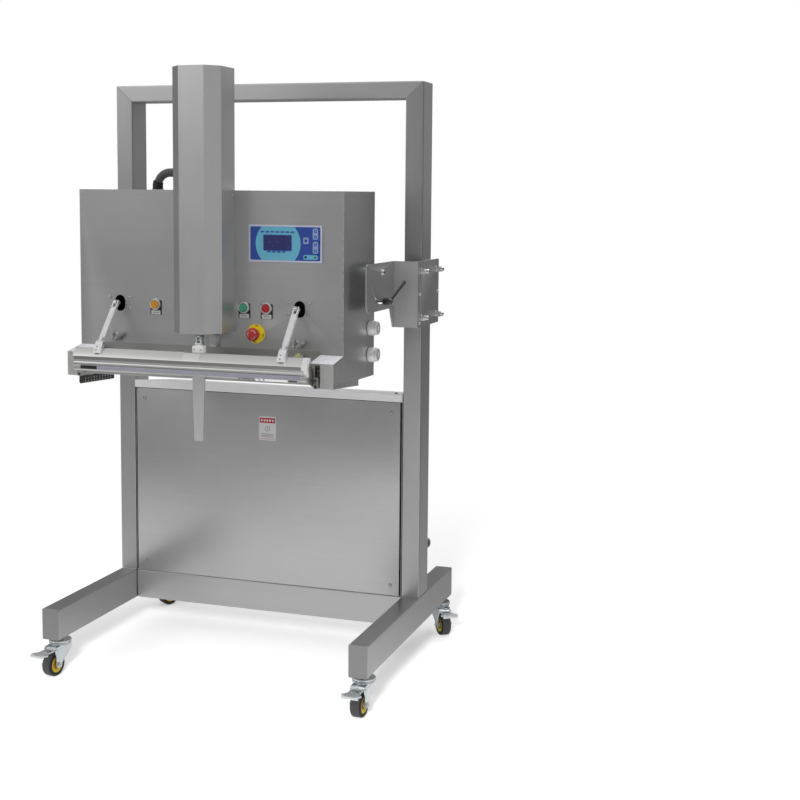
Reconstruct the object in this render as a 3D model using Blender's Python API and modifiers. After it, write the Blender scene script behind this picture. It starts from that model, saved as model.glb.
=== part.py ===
"""Vertical external nozzle vacuum sealer on a castered stand.

The machine faces -Y and stands on z = 0. Everything hangs from one empty, MACHINE, whose own frame has
x = 0 midway between the posts and y = 0 on the posts' front faces. A piece that moves hangs from an empty
on its joint's axis. The press bar is built closed, in its hinge's frame, and stands open.
"""

import math

import bmesh
import bpy
from mathutils import Matrix, Vector

# Driving dimensions, in metres.
GAP = 0.0003
SHEET = 0.002
CENTRE_X, CENTRE_Y = -0.0060, 0.0863

FRAME_HALF = 0.548
FRAME_TOP = 1.898
POST_WIDTH, POST_DEPTH = 0.060, 0.100
BEAM_HEIGHT = 0.054
TUBE_WALL, TUBE_CORNER = 0.0025, 0.004
LEG_BOTTOM, LEG_TOP = 0.122, 0.222
LEG_FRONT, LEG_BACK = -0.502, 0.401

CASTER_INSET_FRONT, CASTER_INSET_BACK = 0.054, 0.050
CASTER_HEADINGS = {"front_left": -7, "front_right": -2, "rear_left": -28, "rear_right": 38}
WHEEL_RADIUS, WHEEL_WIDTH = 0.0375, 0.036
CHEEK_INNER, CHEEK_OUTER = 0.0210, 0.0235
TRAIL = 0.035
AXLE_RADIUS = 0.004
STEM_RADIUS = 0.005
RACE_RADIUS = 0.036
BRAKE_PIVOT = (-0.046, 0.086)

CABINET_HALF = 0.4865
CABINET_FRONT, CABINET_BACK = 0.0, 0.288
CABINET_TOP, CABINET_TOP_BACK = 0.868, 0.833
LID_RISE = 0.0255

BRACKET_BOTTOM, BRACKET_TOP = 1.120, 1.330
BRACKET_INNER, BRACKET_OUTER = 0.472, 0.5555
BRACKET_FRONT, BRACKET_BACK = -0.328, 0.165
WEB_FRONT = -0.069
PLATE = 0.005
STUD_RADIUS, STUD_ROWS, STUD_COLUMNS = 0.006, (1.149, 1.297), (-0.026, 0.136)
TILT_Y, TILT_Z = -0.189, 1.300
LOCK_Y, LOCK_Z = -0.166, 1.209
SLOT_SWEEP = math.radians(82)

HEAD_HALF = 0.439
HEAD_FRONT, HEAD_BACK = -0.4232, -0.150
HEAD_TOP, HEAD_FLOOR = 1.548, 0.990
FOOT_INNER, FOOT_FRONT, FOOT_ROOF_INNER = 0.397, -0.505, 0.366

JAW_FRONT, JAW_HALF = -0.506, 0.381
JAW_BOTTOM, JAW_TOP = 0.985, 1.040
HINGE_Y, HINGE_Z = -0.512, 0.985
OPEN_ANGLE = math.radians(19)
BAR_HALF = 0.3805
LINK_X, ROD_Y, ROD_Z = 0.300, -0.449, 1.200
LINK_PIN = (0.0014, 0.1053)
LINK_ANGLE, LINK_LENGTH = math.radians(39.86), 0.1498

TOWER_LEFT, TOWER_RIGHT = -0.068, 0.0905
TOWER_FRONT, TOWER_CHAMFER = -0.551, 0.038
TOWER_BOTTOM, TOWER_TOP = 1.125, 1.908
NOZZLE_X, NOZZLE_Y, NOZZLE_TIP = 0.0135, -0.514, 0.800
NOZZLE_TOP, BLOCK_TOP = 1.066, 1.0865

PANEL_LOW, PANEL_HIGH = (0.1374, 1.337), (0.3725, 1.4475)
BUTTONS = {
    "yellow_button": (-0.176, (0.95, 0.72, 0.02)),
    "green_button": (0.121, (0.02, 0.50, 0.14)),
    "red_button": (0.194, (0.80, 0.03, 0.03)),
}
BUTTON_Z, BUTTON_RADIUS = 1.198, 0.0105
ESTOP_X, ESTOP_Z = 0.159, 1.120
KNOB_Y, KNOB_RADIUS, KNOB_DEPTH = -0.197, 0.023, 0.032
HOSE_RADIUS, HOSE_BEND = 0.0145, 0.043
HOSE_START, HOSE_END_X, HOSE_RISE = (-0.259, -0.250, 1.5485), -0.033, 0.054

STEEL = ((0.60, 0.60, 0.61), 0.34, 1.0)
DARK_STEEL = ((0.34, 0.34, 0.35), 0.40, 1.0)
ZINC = ((0.72, 0.74, 0.75), 0.30, 1.0)
CHROME = ((0.85, 0.85, 0.86), 0.12, 1.0)
ALUMINIUM = ((0.75, 0.75, 0.76), 0.32, 1.0)
WHITE = ((0.90, 0.90, 0.89), 0.45, 0.0)
BLACK = ((0.03, 0.03, 0.03), 0.50, 0.0)
RUBBER = ((0.05, 0.05, 0.05), 0.75, 0.0)
SILICONE = ((0.62, 0.20, 0.14), 0.60, 0.0)
BLUE = ((0.05, 0.17, 0.45), 0.35, 0.0)
RED = ((0.80, 0.03, 0.03), 0.35, 0.0)
YELLOW = ((0.95, 0.72, 0.02), 0.40, 0.0)


# Scene and shape helpers.
def clear_scene():
    for old in list(bpy.data.objects):
        bpy.data.objects.remove(old, do_unlink=True)


def new_collection(name):
    collection = bpy.data.collections.new(name)
    bpy.context.scene.collection.children.link(collection)
    return collection


clear_scene()
PARTS = new_collection("external_vacuum_sealer")
CUTTERS = new_collection("cutters")


def pivot(name, location=(0, 0, 0), rotation=(0, 0, 0), parent=None):
    """An empty that carries the pieces of one body."""
    empty = bpy.data.objects.new(name, None)
    empty.empty_display_size = 0.03
    empty.location = location
    empty.rotation_euler = rotation
    empty.parent = parent
    PARTS.objects.link(empty)
    return empty


MACHINE = pivot("machine", (CENTRE_X, CENTRE_Y, 0))
CARRIAGE = pivot("head_height", parent=MACHINE)
TILT = pivot("head_tilt", (0, TILT_Y, TILT_Z), parent=CARRIAGE)
HEAD = pivot("head", (0, -TILT_Y, -TILT_Z), parent=TILT)


def add(name, data, parent=MACHINE):
    item = bpy.data.objects.new(name, data)
    item.parent = parent
    PARTS.objects.link(item)
    return item


def mesh_from(name, work):
    bmesh.ops.recalc_face_normals(work, faces=work.faces)
    mesh = bpy.data.meshes.new(name)
    work.to_mesh(mesh)
    work.free()
    return mesh


def box(name, low, high, parent=MACHINE, edge=0.0):
    """A box between two corners, with rounded edges if edge is given."""
    low, high = Vector(low), Vector(high)
    work = bmesh.new()
    bmesh.ops.create_cube(work, size=1.0)
    bmesh.ops.scale(work, vec=high - low, verts=work.verts)
    item = add(name, mesh_from(name, work), parent)
    item.location = (low + high) / 2
    if edge:
        soften(item, edge)
    return item


def soften(item, width, segments=2):
    bevel = item.modifiers.new("rounding", "BEVEL")
    bevel.width = width
    bevel.segments = segments
    bevel.limit_method = "ANGLE"


def cylinder(name, radius, start, end, parent=MACHINE, sides=12):
    start, end = Vector(start), Vector(end)
    work = bmesh.new()
    bmesh.ops.create_cone(
        work, cap_ends=True, segments=sides, radius1=radius, radius2=radius, depth=(end - start).length
    )
    item = add(name, mesh_from(name, work), parent)
    item.location = (start + end) / 2
    item.rotation_euler = (end - start).to_track_quat("Z", "Y").to_euler()
    shade(item)
    return item


def shade(item):
    item.data.shade_smooth()
    item.data.set_sharp_from_angle(angle=math.radians(35))


PLANES = {
    "X": Matrix(((0, 0, 1), (1, 0, 0), (0, 1, 0))),
    "Y": Matrix(((1, 0, 0), (0, 0, -1), (0, 1, 0))),
    "Z": Matrix.Identity(3),
}


def prism(name, outline, axis, low, high, parent=MACHINE):
    """A flat outline extruded along an axis: (y, z) along X, (x, z) along Y, (x, y) along Z."""
    curve = bpy.data.curves.new(name, "CURVE")
    curve.dimensions = "2D"
    curve.fill_mode = "BOTH"
    curve.extrude = abs(high - low) / 2
    spline = curve.splines.new("POLY")
    spline.points.add(len(outline) - 1)
    spline.use_cyclic_u = True
    for point, (u, v) in zip(spline.points, outline):
        point.co = (u, v, 0, 1)
    drawn = bpy.data.objects.new(name + "_outline", curve)
    CUTTERS.objects.link(drawn)
    bpy.context.view_layer.update()
    flat = bpy.data.meshes.new_from_object(drawn.evaluated_get(bpy.context.evaluated_depsgraph_get()))
    bpy.data.objects.remove(drawn, do_unlink=True)
    work = bmesh.new()
    work.from_mesh(flat)
    bmesh.ops.remove_doubles(work, verts=work.verts, dist=0.00001)
    bpy.data.meshes.remove(flat)
    item = add(name, mesh_from(name, work), parent)
    middle = (low + high) / 2
    item.location = {"X": (middle, 0, 0), "Y": (0, middle, 0), "Z": (0, 0, middle)}[axis]
    item.rotation_euler = PLANES[axis].to_euler()
    return item


def turned(name, profile, location, direction, parent=MACHINE, steps=14):
    """A profile of (radius, height), from the top down its outer side, turned about an axis."""
    mesh = bpy.data.meshes.new(name)
    ring = profile[0][0] > 0
    count = len(profile)
    edges = [(i, (i + 1) % count) for i in range(count if ring else count - 1)]
    mesh.from_pydata([(r, 0, h) for r, h in profile], edges, [])
    item = add(name, mesh, parent)
    item.location = location
    item.rotation_euler = Vector(direction).to_track_quat("Z", "Y").to_euler()
    screw = item.modifiers.new("turning", "SCREW")
    screw.steps = screw.render_steps = steps
    screw.use_merge_vertices = True
    screw.merge_threshold = 0.00001
    screw.use_smooth_shade = False
    return item


def combine(target, operation, others):
    """Cuts, joins or intersects target with other objects, which become guides."""
    for other in others:
        step = target.modifiers.new(other.name, "BOOLEAN")
        step.operation = operation
        step.solver = "EXACT"
        step.object = other
        PARTS.objects.unlink(other)
        CUTTERS.objects.link(other)
        other.hide_render = True
        other.display_type = "WIRE"
    return target


def cut(target, *others):
    return combine(target, "DIFFERENCE", others)


def join(target, *others):
    return combine(target, "UNION", others)


def hang(item, body):
    """Moves a piece and its guides to a body whose empty shares the machine's frame at rest."""
    item.parent = body
    for step in item.modifiers:
        if step.type == "BOOLEAN":
            hang(step.object, body)


def paint(item, look, body=None):
    """Gives a finished piece its material, and its body if it is not the stand or a pivot's own piece."""
    if body:
        hang(item, body)
    colour, roughness, metallic = look
    material = bpy.data.materials.new(item.name)
    material.use_nodes = True
    shader = material.node_tree.nodes["Principled BSDF"]
    shader.inputs["Base Color"].default_value = (*colour, 1)
    shader.inputs["Roughness"].default_value = roughness
    shader.inputs["Metallic"].default_value = metallic
    item.data.materials.append(material)
    return item


def arc(centre, radius, start, end, steps):
    """Points on an arc, with the angles in degrees."""
    points = []
    for i in range(steps + 1):
        angle = math.radians(start + (end - start) * i / steps)
        points.append((centre[0] + radius * math.cos(angle), centre[1] + radius * math.sin(angle)))
    return points


def both_sides():
    return (("left", -1), ("right", 1))


# Stand.
def tube(name, low, high, axis):
    """A box tube open at both ends along axis 0, 1 or 2."""
    item = box(name, low, high, edge=TUBE_CORNER)
    inner_low = [value + TUBE_WALL for value in low]
    inner_high = [value - TUBE_WALL for value in high]
    inner_low[axis] = low[axis] - 0.01
    inner_high[axis] = high[axis] + 0.01
    return cut(item, box(name + "_bore", inner_low, inner_high))


def mitre(name, side, keep):
    """The waste on one side of the joint between a post and the beam."""
    slope = BEAM_HEIGHT / POST_WIDTH
    reach, waste = 0.02, 0.12
    inner_x, inner_z = FRAME_HALF - POST_WIDTH, FRAME_TOP - BEAM_HEIGHT
    shift, side_z = (-GAP, waste) if keep == "post" else (GAP, -waste)
    low = (side * (inner_x - reach), inner_z - reach * slope + shift)
    high = (side * (FRAME_HALF + reach), FRAME_TOP + reach * slope + shift)
    waste_z = FRAME_TOP + side_z
    outline = [low, high, (high[0], waste_z), (low[0], waste_z)]
    return prism(name, outline, "Y", -0.02, POST_DEPTH + 0.02)


def make_stand():
    inner = FRAME_HALF - POST_WIDTH
    for name, side in both_sides():
        edges = sorted((side * inner, side * FRAME_HALF))
        post = tube(name + "_post", (edges[0], 0, LEG_TOP + GAP), (edges[1], POST_DEPTH, FRAME_TOP), 2)
        paint(cut(post, mitre(name + "_post_mitre", side, "post")), STEEL)
        make_leg(name, edges)
    beam = tube("top_beam", (-FRAME_HALF, 0, FRAME_TOP - BEAM_HEIGHT), (FRAME_HALF, POST_DEPTH, FRAME_TOP), 0)
    cut(beam, mitre("beam_mitre_left", -1, "beam"), mitre("beam_mitre_right", 1, "beam"))
    paint(beam, STEEL)
    reach = inner - GAP
    cross = tube("cross_beam", (-reach, 0.001, LEG_BOTTOM), (reach, 0.061, LEG_TOP - GAP), 0)
    paint(cross, STEEL)


def caster_places():
    x = FRAME_HALF - POST_WIDTH / 2
    front, back = LEG_FRONT + CASTER_INSET_FRONT, LEG_BACK - CASTER_INSET_BACK
    return {
        "front_left": (-x, front),
        "front_right": (x, front),
        "rear_left": (-x, back),
        "rear_right": (x, back),
    }


def make_leg(name, edges):
    low, high = (edges[0], LEG_FRONT, LEG_BOTTOM), (edges[1], LEG_BACK, LEG_TOP)
    leg = box(name + "_leg", low, high, edge=TUBE_CORNER)
    wall = 2 * TUBE_WALL
    low = (edges[0] + TUBE_WALL, LEG_FRONT + wall, LEG_BOTTOM + wall)
    high = (edges[1] - TUBE_WALL, LEG_BACK - wall, LEG_TOP - TUBE_WALL)
    cut(leg, box(name + "_leg_bore", low, high))
    for place, (x, y) in caster_places().items():
        if place.endswith(name):
            start, end = (x, y, LEG_BOTTOM - 0.01), (x, y, LEG_BOTTOM + 0.02)
            cut(leg, cylinder(place + "_stem_hole", STEM_RADIUS + GAP, start, end))
    paint(leg, STEEL)


# Casters.
def make_caster(place, x, y, heading):
    race_bottom = LEG_BOTTOM - 0.021
    stem_profile = [
        (0, 0.034), (STEM_RADIUS, 0.034), (STEM_RADIUS, -GAP), (0.0095, -GAP), (0.0095, -0.008),
        (RACE_RADIUS, -0.014), (RACE_RADIUS, -0.021), (STEM_RADIUS, -0.021), (STEM_RADIUS, -0.030),
        (0, -0.030),
    ]
    stem = turned(place + "_caster_stem", stem_profile, (x, y, LEG_BOTTOM), (0, 0, 1))
    paint(stem, ZINC)
    swivel = pivot(place + "_swivel", (x, y, 0), (0, 0, math.radians(heading)), MACHINE)
    make_fork(place, swivel, race_bottom - 0.0005)
    make_wheel(place, swivel)
    make_brake(place, swivel)


def make_fork(place, swivel, crown_top):
    rim = RACE_RADIUS - 0.001
    crown_profile = [(0, crown_top), (rim, crown_top), (rim, crown_top - 0.006), (0, crown_top - 0.006)]
    fork = turned(place + "_caster_fork", crown_profile, (0, 0, 0), (0, 0, 1), swivel)
    side_outline = [(0.030, crown_top - 0.002), (-0.047, crown_top - 0.002), (-0.053, 0.090), (-0.050, 0.078)]
    side_outline += arc((-TRAIL, WHEEL_RADIUS), 0.0105, 195, 345, 3)
    side_outline += [(0.004, 0.062), (0.024, 0.074), (0.030, 0.086)]
    for name, side in both_sides():
        low, high = sorted((side * CHEEK_INNER, side * CHEEK_OUTER))
        join(fork, prism(f"{place}_fork_{name}", side_outline, "X", low, high, swivel))
    reach = CHEEK_INNER + 0.001
    bridge = box(place + "_fork_bridge", (-reach, -0.040, 0.0895), (reach, 0.006, crown_top - 0.001), swivel)
    start, end = (-0.0268, -TRAIL, WHEEL_RADIUS), (0.0268, -TRAIL, WHEEL_RADIUS)
    axle = cylinder(place + "_axle", AXLE_RADIUS, start, end, swivel, sides=8)
    hole_start, hole_end, hole_radius = (0, 0, 0.080), (0, 0, 0.110), STEM_RADIUS + 0.0008
    kingpin_hole = cylinder(place + "_kingpin_hole", hole_radius, hole_start, hole_end, swivel, sides=8)
    paint(cut(join(fork, bridge, axle), kingpin_hole), ZINC)


def make_wheel(place, swivel):
    half, bore = WHEEL_WIDTH / 2, AXLE_RADIUS + GAP
    upper = [(bore, 0.0200), (0.010, 0.0200), (0.012, 0.012), (0.028, half), (WHEEL_RADIUS, half - 0.004)]
    profile = upper + [(radius, -height) for radius, height in reversed(upper)]
    wheel = turned(place + "_caster_wheel", profile, (0, -TRAIL, WHEEL_RADIUS), (1, 0, 0), swivel, steps=20)
    paint(wheel, RUBBER)


def make_brake(place, swivel):
    y, z = BRAKE_PIVOT
    hinge = pivot(place + "_brake_pivot", (0, y, z), (0, 0, 0), swivel)
    right = [(0.019, 0.006), (0.019, -0.038), (0.032, -0.042), (0.032, -0.056), (0.027, -0.061)]
    pad = right + [(-x, v) for x, v in reversed(right)]
    brake = prism(place + "_caster_brake", pad, "Z", -0.0012, 0.0012, hinge)
    lip = box(place + "_brake_lip", (-0.027, -0.0605, -0.006), (0.027, -0.0585, 0.001), hinge)
    barrel = cylinder(place + "_brake_barrel", 0.003, (-0.0190, 0, 0), (0.0190, 0, 0), hinge, sides=10)
    paint(join(brake, lip, barrel), ZINC)


# Pump cabinet.
def open_box(name, low, high, missing, thickness):
    """A sheet box without the sides whose outward normals are listed."""
    item = box(name, low, high)
    work = bmesh.new()
    work.from_mesh(item.data)
    gone = [face for face in work.faces if any(face.normal.dot(Vector(side)) > 0.9 for side in missing)]
    bmesh.ops.delete(work, geom=gone, context="FACES")
    work.to_mesh(item.data)
    work.free()
    sheet = item.modifiers.new("sheet", "SOLIDIFY")
    sheet.thickness = thickness
    sheet.offset = -1
    sheet.use_even_offset = True
    return item


def cabinet_slope(y, lift=0.0):
    """The height of the cabinet's sloping top at a depth."""
    share = (y - CABINET_FRONT) / (CABINET_BACK - CABINET_FRONT)
    return CABINET_TOP + (CABINET_TOP_BACK - CABINET_TOP) * share + lift


def make_cabinet():
    half, front, back = CABINET_HALF, CABINET_FRONT, CABINET_BACK
    bottom = LEG_TOP + GAP
    shell = open_box(
        "cabinet_shell", (-half, front + 0.0018, bottom), (half, back - 0.0018, CABINET_TOP),
        ((0, 0, 1), (0, -1, 0), (0, 1, 0)), SHEET,
    )
    near, far = front - 0.01, back + 0.01
    above = [(near, cabinet_slope(near)), (far, cabinet_slope(far)), (far, 0.90), (near, 0.90)]
    inlet_hole = cylinder("inlet_hole", 0.0105, (half - 0.02, 0.225, 0.350), (half + 0.02, 0.225, 0.350))
    paint(cut(shell, inlet_hole, prism("above_slope", above, "X", -half - 0.01, half + 0.01)), STEEL)
    panel_low, panel_high = (-0.480, front - 0.0015, bottom + 0.002), (0.480, front + 0.0015, 0.867)
    paint(box("cabinet_front_panel", panel_low, panel_high, edge=0.0006), STEEL)
    rear_low, rear_high = (-half, back - 0.0015, bottom), (half, back + 0.0005, CABINET_TOP_BACK - 0.001)
    paint(box("cabinet_rear_panel", rear_low, rear_high), STEEL)
    make_lid(half, front - 0.003, back + 0.003)
    inlet = [(0, 0.030), (0.012, 0.030), (0.0165, 0.027), (0.0165, 0.020), (0.015, 0.018), (0.015, GAP)]
    inlet += [(0.0100, GAP), (0.0100, -0.020), (0, -0.020)]
    paint(turned("power_inlet", inlet, (half, 0.225, 0.350), (1, 0, 0)), BLACK)
    make_pump(bottom + SHEET + GAP)


def make_lid(half, front, back):
    """A folded cap that falls towards the back so that it sheds water."""
    outline = [
        (front, cabinet_slope(front, GAP)), (back, cabinet_slope(back, GAP)),
        (back, cabinet_slope(back, LID_RISE)), (front, cabinet_slope(front, LID_RISE)),
    ]
    lid = prism("cabinet_lid", outline, "X", -half, half)
    near, far = front + SHEET, back - SHEET
    hollow = [
        (near, cabinet_slope(near, -0.01)), (far, cabinet_slope(far, -0.01)),
        (far, cabinet_slope(far, LID_RISE - SHEET)), (near, cabinet_slope(near, LID_RISE - SHEET)),
    ]
    paint(cut(lid, prism("lid_hollow", hollow, "X", SHEET - half, half - SHEET)), STEEL)


def make_pump(floor):
    middle = (CABINET_FRONT + CABINET_BACK) / 2
    base_low, base_high = (-0.240, middle - 0.080, floor), (0.200, middle + 0.080, floor + 0.024)
    pump = box("vacuum_pump", base_low, base_high)
    body = box("pump_body", (-0.230, middle - 0.070, floor + 0.020), (-0.020, middle + 0.070, floor + 0.230))
    tank = cylinder("pump_tank", 0.062, (-0.125, middle, floor + 0.225), (-0.125, middle, floor + 0.300))
    motor_z = floor + 0.115
    motor = cylinder("pump_motor", 0.072, (-0.030, middle, motor_z), (0.180, middle, motor_z), sides=16)
    foot = box("motor_foot", (0.020, middle - 0.055, floor + 0.015), (0.140, middle + 0.055, floor + 0.080))
    paint(join(pump, body, tank, motor, foot), DARK_STEEL)


# Carriage.
def make_carriage():
    for name, side in both_sides():
        make_bracket(name, side)
        make_clamp(name, side)
        make_pivot_pin(name, side)


def across(side, inner, outer):
    return sorted((side * inner, side * outer))


def make_bracket(name, side):
    """A plate bent twice: beside the head, across the front of the post, and along its outer face."""
    inner, outer = BRACKET_INNER, BRACKET_OUTER
    plan = [
        (inner, BRACKET_FRONT - 0.01), (inner, WEB_FRONT + PLATE), (outer - PLATE, WEB_FRONT + PLATE),
        (outer - PLATE, BRACKET_BACK), (outer, BRACKET_BACK), (outer, WEB_FRONT),
        (inner + PLATE, WEB_FRONT), (inner + PLATE, BRACKET_FRONT - 0.01),
    ]
    plan = [(side * x, y) for x, y in plan]
    bracket = prism(name + "_bracket", plan, "Z", BRACKET_BOTTOM - 0.01, BRACKET_TOP + 0.01)
    top, low = BRACKET_TOP, 1.183
    outline = [(BRACKET_BACK + 0.01, BRACKET_BOTTOM), (BRACKET_BACK + 0.01, top)]
    outline += arc((BRACKET_FRONT + 0.012, top - 0.012), 0.012, 90, 180, 4)
    outline += arc((BRACKET_FRONT + 0.030, low + 0.030), 0.030, 180, 270, 5)
    outline += [(WEB_FRONT - 0.035, low), (WEB_FRONT - 0.004, BRACKET_BOTTOM)]
    low_x, high_x = across(side, inner - 0.02, outer + 0.02)
    combine(bracket, "INTERSECT", [prism(name + "_bracket_side", outline, "X", low_x, high_x)])
    cut(bracket, arc_slot(name, side))
    hole_start, hole_end = (side * 0.46, TILT_Y, TILT_Z), (side * 0.49, TILT_Y, TILT_Z)
    cut(bracket, cylinder(name + "_tilt_hole", 0.0064, hole_start, hole_end))
    for row, z in enumerate(STUD_ROWS):
        for column, y in enumerate(STUD_COLUMNS):
            start, end = (side * (outer - 0.02), y, z), (side * (outer + 0.02), y, z)
            hole = cylinder(f"{name}_stud_hole_{row}{column}", STUD_RADIUS + 0.0005, start, end, sides=10)
            cut(bracket, hole)
    paint(bracket, DARK_STEEL, CARRIAGE)


def arc_slot(name, side):
    """The slot that the lock stud runs in as the head tilts."""
    down, back = TILT_Z - LOCK_Z, LOCK_Y - TILT_Y
    radius, half_width = math.hypot(down, back), 0.0045
    first = math.degrees(math.atan2(-down, back)) + 1.0
    last = first - math.degrees(SLOT_SWEEP)
    centre = (TILT_Y, TILT_Z)
    first_end = arc(centre, radius, first, first, 1)[0]
    last_end = arc(centre, radius, last, last, 1)[0]
    outline = arc(centre, radius + half_width, first, last, 10)
    outline += arc(last_end, half_width, last, last - 180, 4)[1:-1]
    outline += arc(centre, radius - half_width, last, first, 10)
    outline += arc(first_end, half_width, first + 180, first, 4)[1:-1]
    low_x, high_x = across(side, BRACKET_INNER - 0.01, BRACKET_INNER + PLATE + 0.01)
    return prism(name + "_arc_slot", outline, "X", low_x, high_x)


def make_clamp(name, side):
    low_x, high_x = across(side, 0.4825, FRAME_HALF - POST_WIDTH - 0.0005)
    low, high = (low_x, -0.061, BRACKET_BOTTOM + 0.005), (high_x, BRACKET_BACK, BRACKET_TOP - 0.005)
    clamp = box(name + "_clamp", low, high, edge=0.001)
    nut_face = BRACKET_OUTER + GAP
    profile = [
        (0, nut_face + 0.028), (0.006, nut_face + 0.026), (0.0085, nut_face + 0.021),
        (0.0088, nut_face + 0.012), (0.0105, nut_face + 0.012), (0.0105, nut_face), (STUD_RADIUS, nut_face),
        (STUD_RADIUS, 0.486), (0, 0.486),
    ]
    for row, z in enumerate(STUD_ROWS):
        for column, y in enumerate(STUD_COLUMNS):
            label = f"{name}_stud_{row}{column}"
            join(clamp, turned(label, profile, (0, y, z), (side, 0, 0), steps=8))
    paint(clamp, STEEL, CARRIAGE)


def make_pivot_pin(name, side):
    head = BRACKET_INNER + PLATE + GAP
    profile = [
        (0, head + 0.009), (0.006, head + 0.008), (0.0095, head + 0.004), (0.0095, head), (0.006, head),
        (0.006, BRACKET_INNER - GAP), (0.013, BRACKET_INNER - GAP), (0.013, HEAD_HALF + GAP),
        (0.006, HEAD_HALF + GAP), (0.006, HEAD_HALF - 0.016), (0, HEAD_HALF - 0.016),
    ]
    pin = turned(name + "_pivot_pin", profile, (0, TILT_Y, TILT_Z), (side, 0, 0))
    paint(pin, CHROME, CARRIAGE)


# Head.
def make_housing():
    half = HEAD_HALF
    side_outline = [
        (HEAD_BACK, HEAD_TOP), (HEAD_FRONT, HEAD_TOP), (HEAD_FRONT, 1.064), (FOOT_FRONT, 1.049),
        (FOOT_FRONT, 0.976), (-0.291, 0.960), (-0.291, 0.978), (HEAD_BACK, 0.975),
    ]
    housing = prism("head_housing", side_outline, "X", -half, half)
    open_low, open_high = (-FOOT_ROOF_INNER, -0.60, 0.90), (FOOT_ROOF_INNER, HEAD_FRONT + 0.0002, 1.075)
    between_feet = box("between_feet", open_low, open_high)
    behind = HEAD_FRONT + 0.0002
    under_roof = [(-0.60, 0.89), (behind, 0.89), (behind, 1.061), (FOOT_FRONT, 1.046), (-0.60, 1.0286)]
    foot_pockets = prism("foot_pockets", under_roof, "X", -FOOT_INNER, FOOT_INNER)
    skirt = 0.003
    under = box("under_floor", (skirt - half, HEAD_FRONT - 0.001, 0.90), (half - skirt, 0, HEAD_FLOOR))
    wall = half - SHEET
    cavity = box("head_cavity", (-wall, HEAD_FRONT + SHEET, HEAD_FLOOR + SHEET), (wall, 0, HEAD_TOP - SHEET))
    cut(housing, between_feet, foot_pockets, under, cavity)
    for name, side in both_sides():
        low_x, high_x = across(side, FOOT_INNER + SHEET, wall)
        low, high = (low_x, FOOT_FRONT + SHEET, HEAD_FLOOR + 0.004), (high_x, HEAD_FRONT + 0.01, 1.046)
        cut(housing, box(name + "_foot_cavity", low, high))
        cut(housing, oval(name + "_oval", side * LINK_X, ROD_Z - 0.002, HEAD_FRONT - 0.02, HEAD_FRONT + 0.02))
        cut(housing, side_hole(name + "_housing_tilt_hole", side, TILT_Y, TILT_Z, 0.0064))
        cut(housing, side_hole(name + "_housing_lock_hole", side, LOCK_Y, LOCK_Z, 0.0044))
        for i in range(10):
            y = FOOT_FRONT + 0.011 + 0.0205 * i
            bottom = 0.979 - 0.0748 * (y - FOOT_FRONT)
            slot_low, slot_high = across(side, half - 0.012, half + 0.01)
            low, high = (slot_low, y - 0.002, bottom), (slot_high, y + 0.002, bottom + 0.013)
            cut(housing, box(f"{name}_vent_{i}", low, high))
    for name, (x, _) in BUTTONS.items():
        cut(housing, face_hole(name + "_hole", x, BUTTON_Z, BUTTON_RADIUS + 0.0005))
    cut(housing, face_hole("estop_hole", ESTOP_X, ESTOP_Z, 0.0110))
    for name, z in knob_heights():
        cut(housing, side_hole(name + "_hole", 1, KNOB_Y, z, 0.0044))
    x, y, z = HOSE_START
    cut(housing, cylinder("hose_hole", HOSE_RADIUS + 0.0006, (x, y, z - 0.02), (x, y, z + 0.02), sides=16))
    paint(housing, STEEL, HEAD)
    back_low = (GAP - wall, HEAD_BACK - 0.003, HEAD_FLOOR + SHEET + GAP)
    back_high = (wall - GAP, HEAD_BACK - 0.0015, HEAD_TOP - SHEET - GAP)
    paint(box("head_back_cover", back_low, back_high), STEEL, HEAD)


def knob_heights():
    return (("upper_knob", 1.1275), ("lower_knob", 1.045))


def side_hole(name, side, y, z, radius):
    start, end = (side * (HEAD_HALF - 0.03), y, z), (side * (HEAD_HALF + 0.03), y, z)
    return cylinder(name, radius, start, end)


def face_hole(name, x, z, radius, sides=12):
    return cylinder(name, radius, (x, HEAD_FRONT - 0.02, z), (x, HEAD_FRONT + 0.02, z), sides=sides)


def oval(name, x, z, low, high, half_width=0.0185, half_height=0.026):
    rise = half_height - half_width
    outline = arc((x, z + rise), half_width, 0, 180, 6) + arc((x, z - rise), half_width, 180, 360, 6)
    return prism(name, outline, "Y", low, high)


def make_jaw():
    low, high = (-JAW_HALF, JAW_FRONT, JAW_BOTTOM), (JAW_HALF, HEAD_FRONT - GAP, JAW_TOP)
    jaw = box("heated_jaw", low, high, edge=0.0015)
    for name, side in both_sides():
        arm_low, arm_high = across(side, JAW_HALF - 0.004, 0.3945)
        ear_low, ear_high = across(side, 0.3840, 0.3945)
        arm = box(name + "_jaw_arm", (arm_low, -0.486, JAW_BOTTOM + 0.002), (arm_high, -0.430, 1.036))
        ear = box(name + "_jaw_ear", (ear_low, HINGE_Y - 0.009, 0.977), (ear_high, -0.470, 1.010))
        start, end = (side * 0.37, HINGE_Y, HINGE_Z), (side * 0.41, HINGE_Y, HINGE_Z)
        bore = cylinder(name + "_ear_bore", 0.0033, start, end)
        cut(join(jaw, arm, ear), bore)
    paint(jaw, ALUMINIUM, HEAD)


def make_control_panel():
    low = (PANEL_LOW[0], HEAD_FRONT - GAP - 0.004, PANEL_LOW[1])
    high = (PANEL_HIGH[0], HEAD_FRONT - GAP, PANEL_HIGH[1])
    paint(box("control_panel", low, high, edge=0.001), BLUE, HEAD)


def tower_outline(inset):
    left, right = TOWER_LEFT + inset, TOWER_RIGHT - inset
    front, back = TOWER_FRONT + inset, HEAD_FRONT - GAP - inset
    chamfer = TOWER_CHAMFER - inset * math.tan(math.radians(22.5))
    return [
        (left, back), (left, front + chamfer), (left + chamfer, front), (right - chamfer, front),
        (right, front + chamfer), (right, back),
    ]


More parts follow.
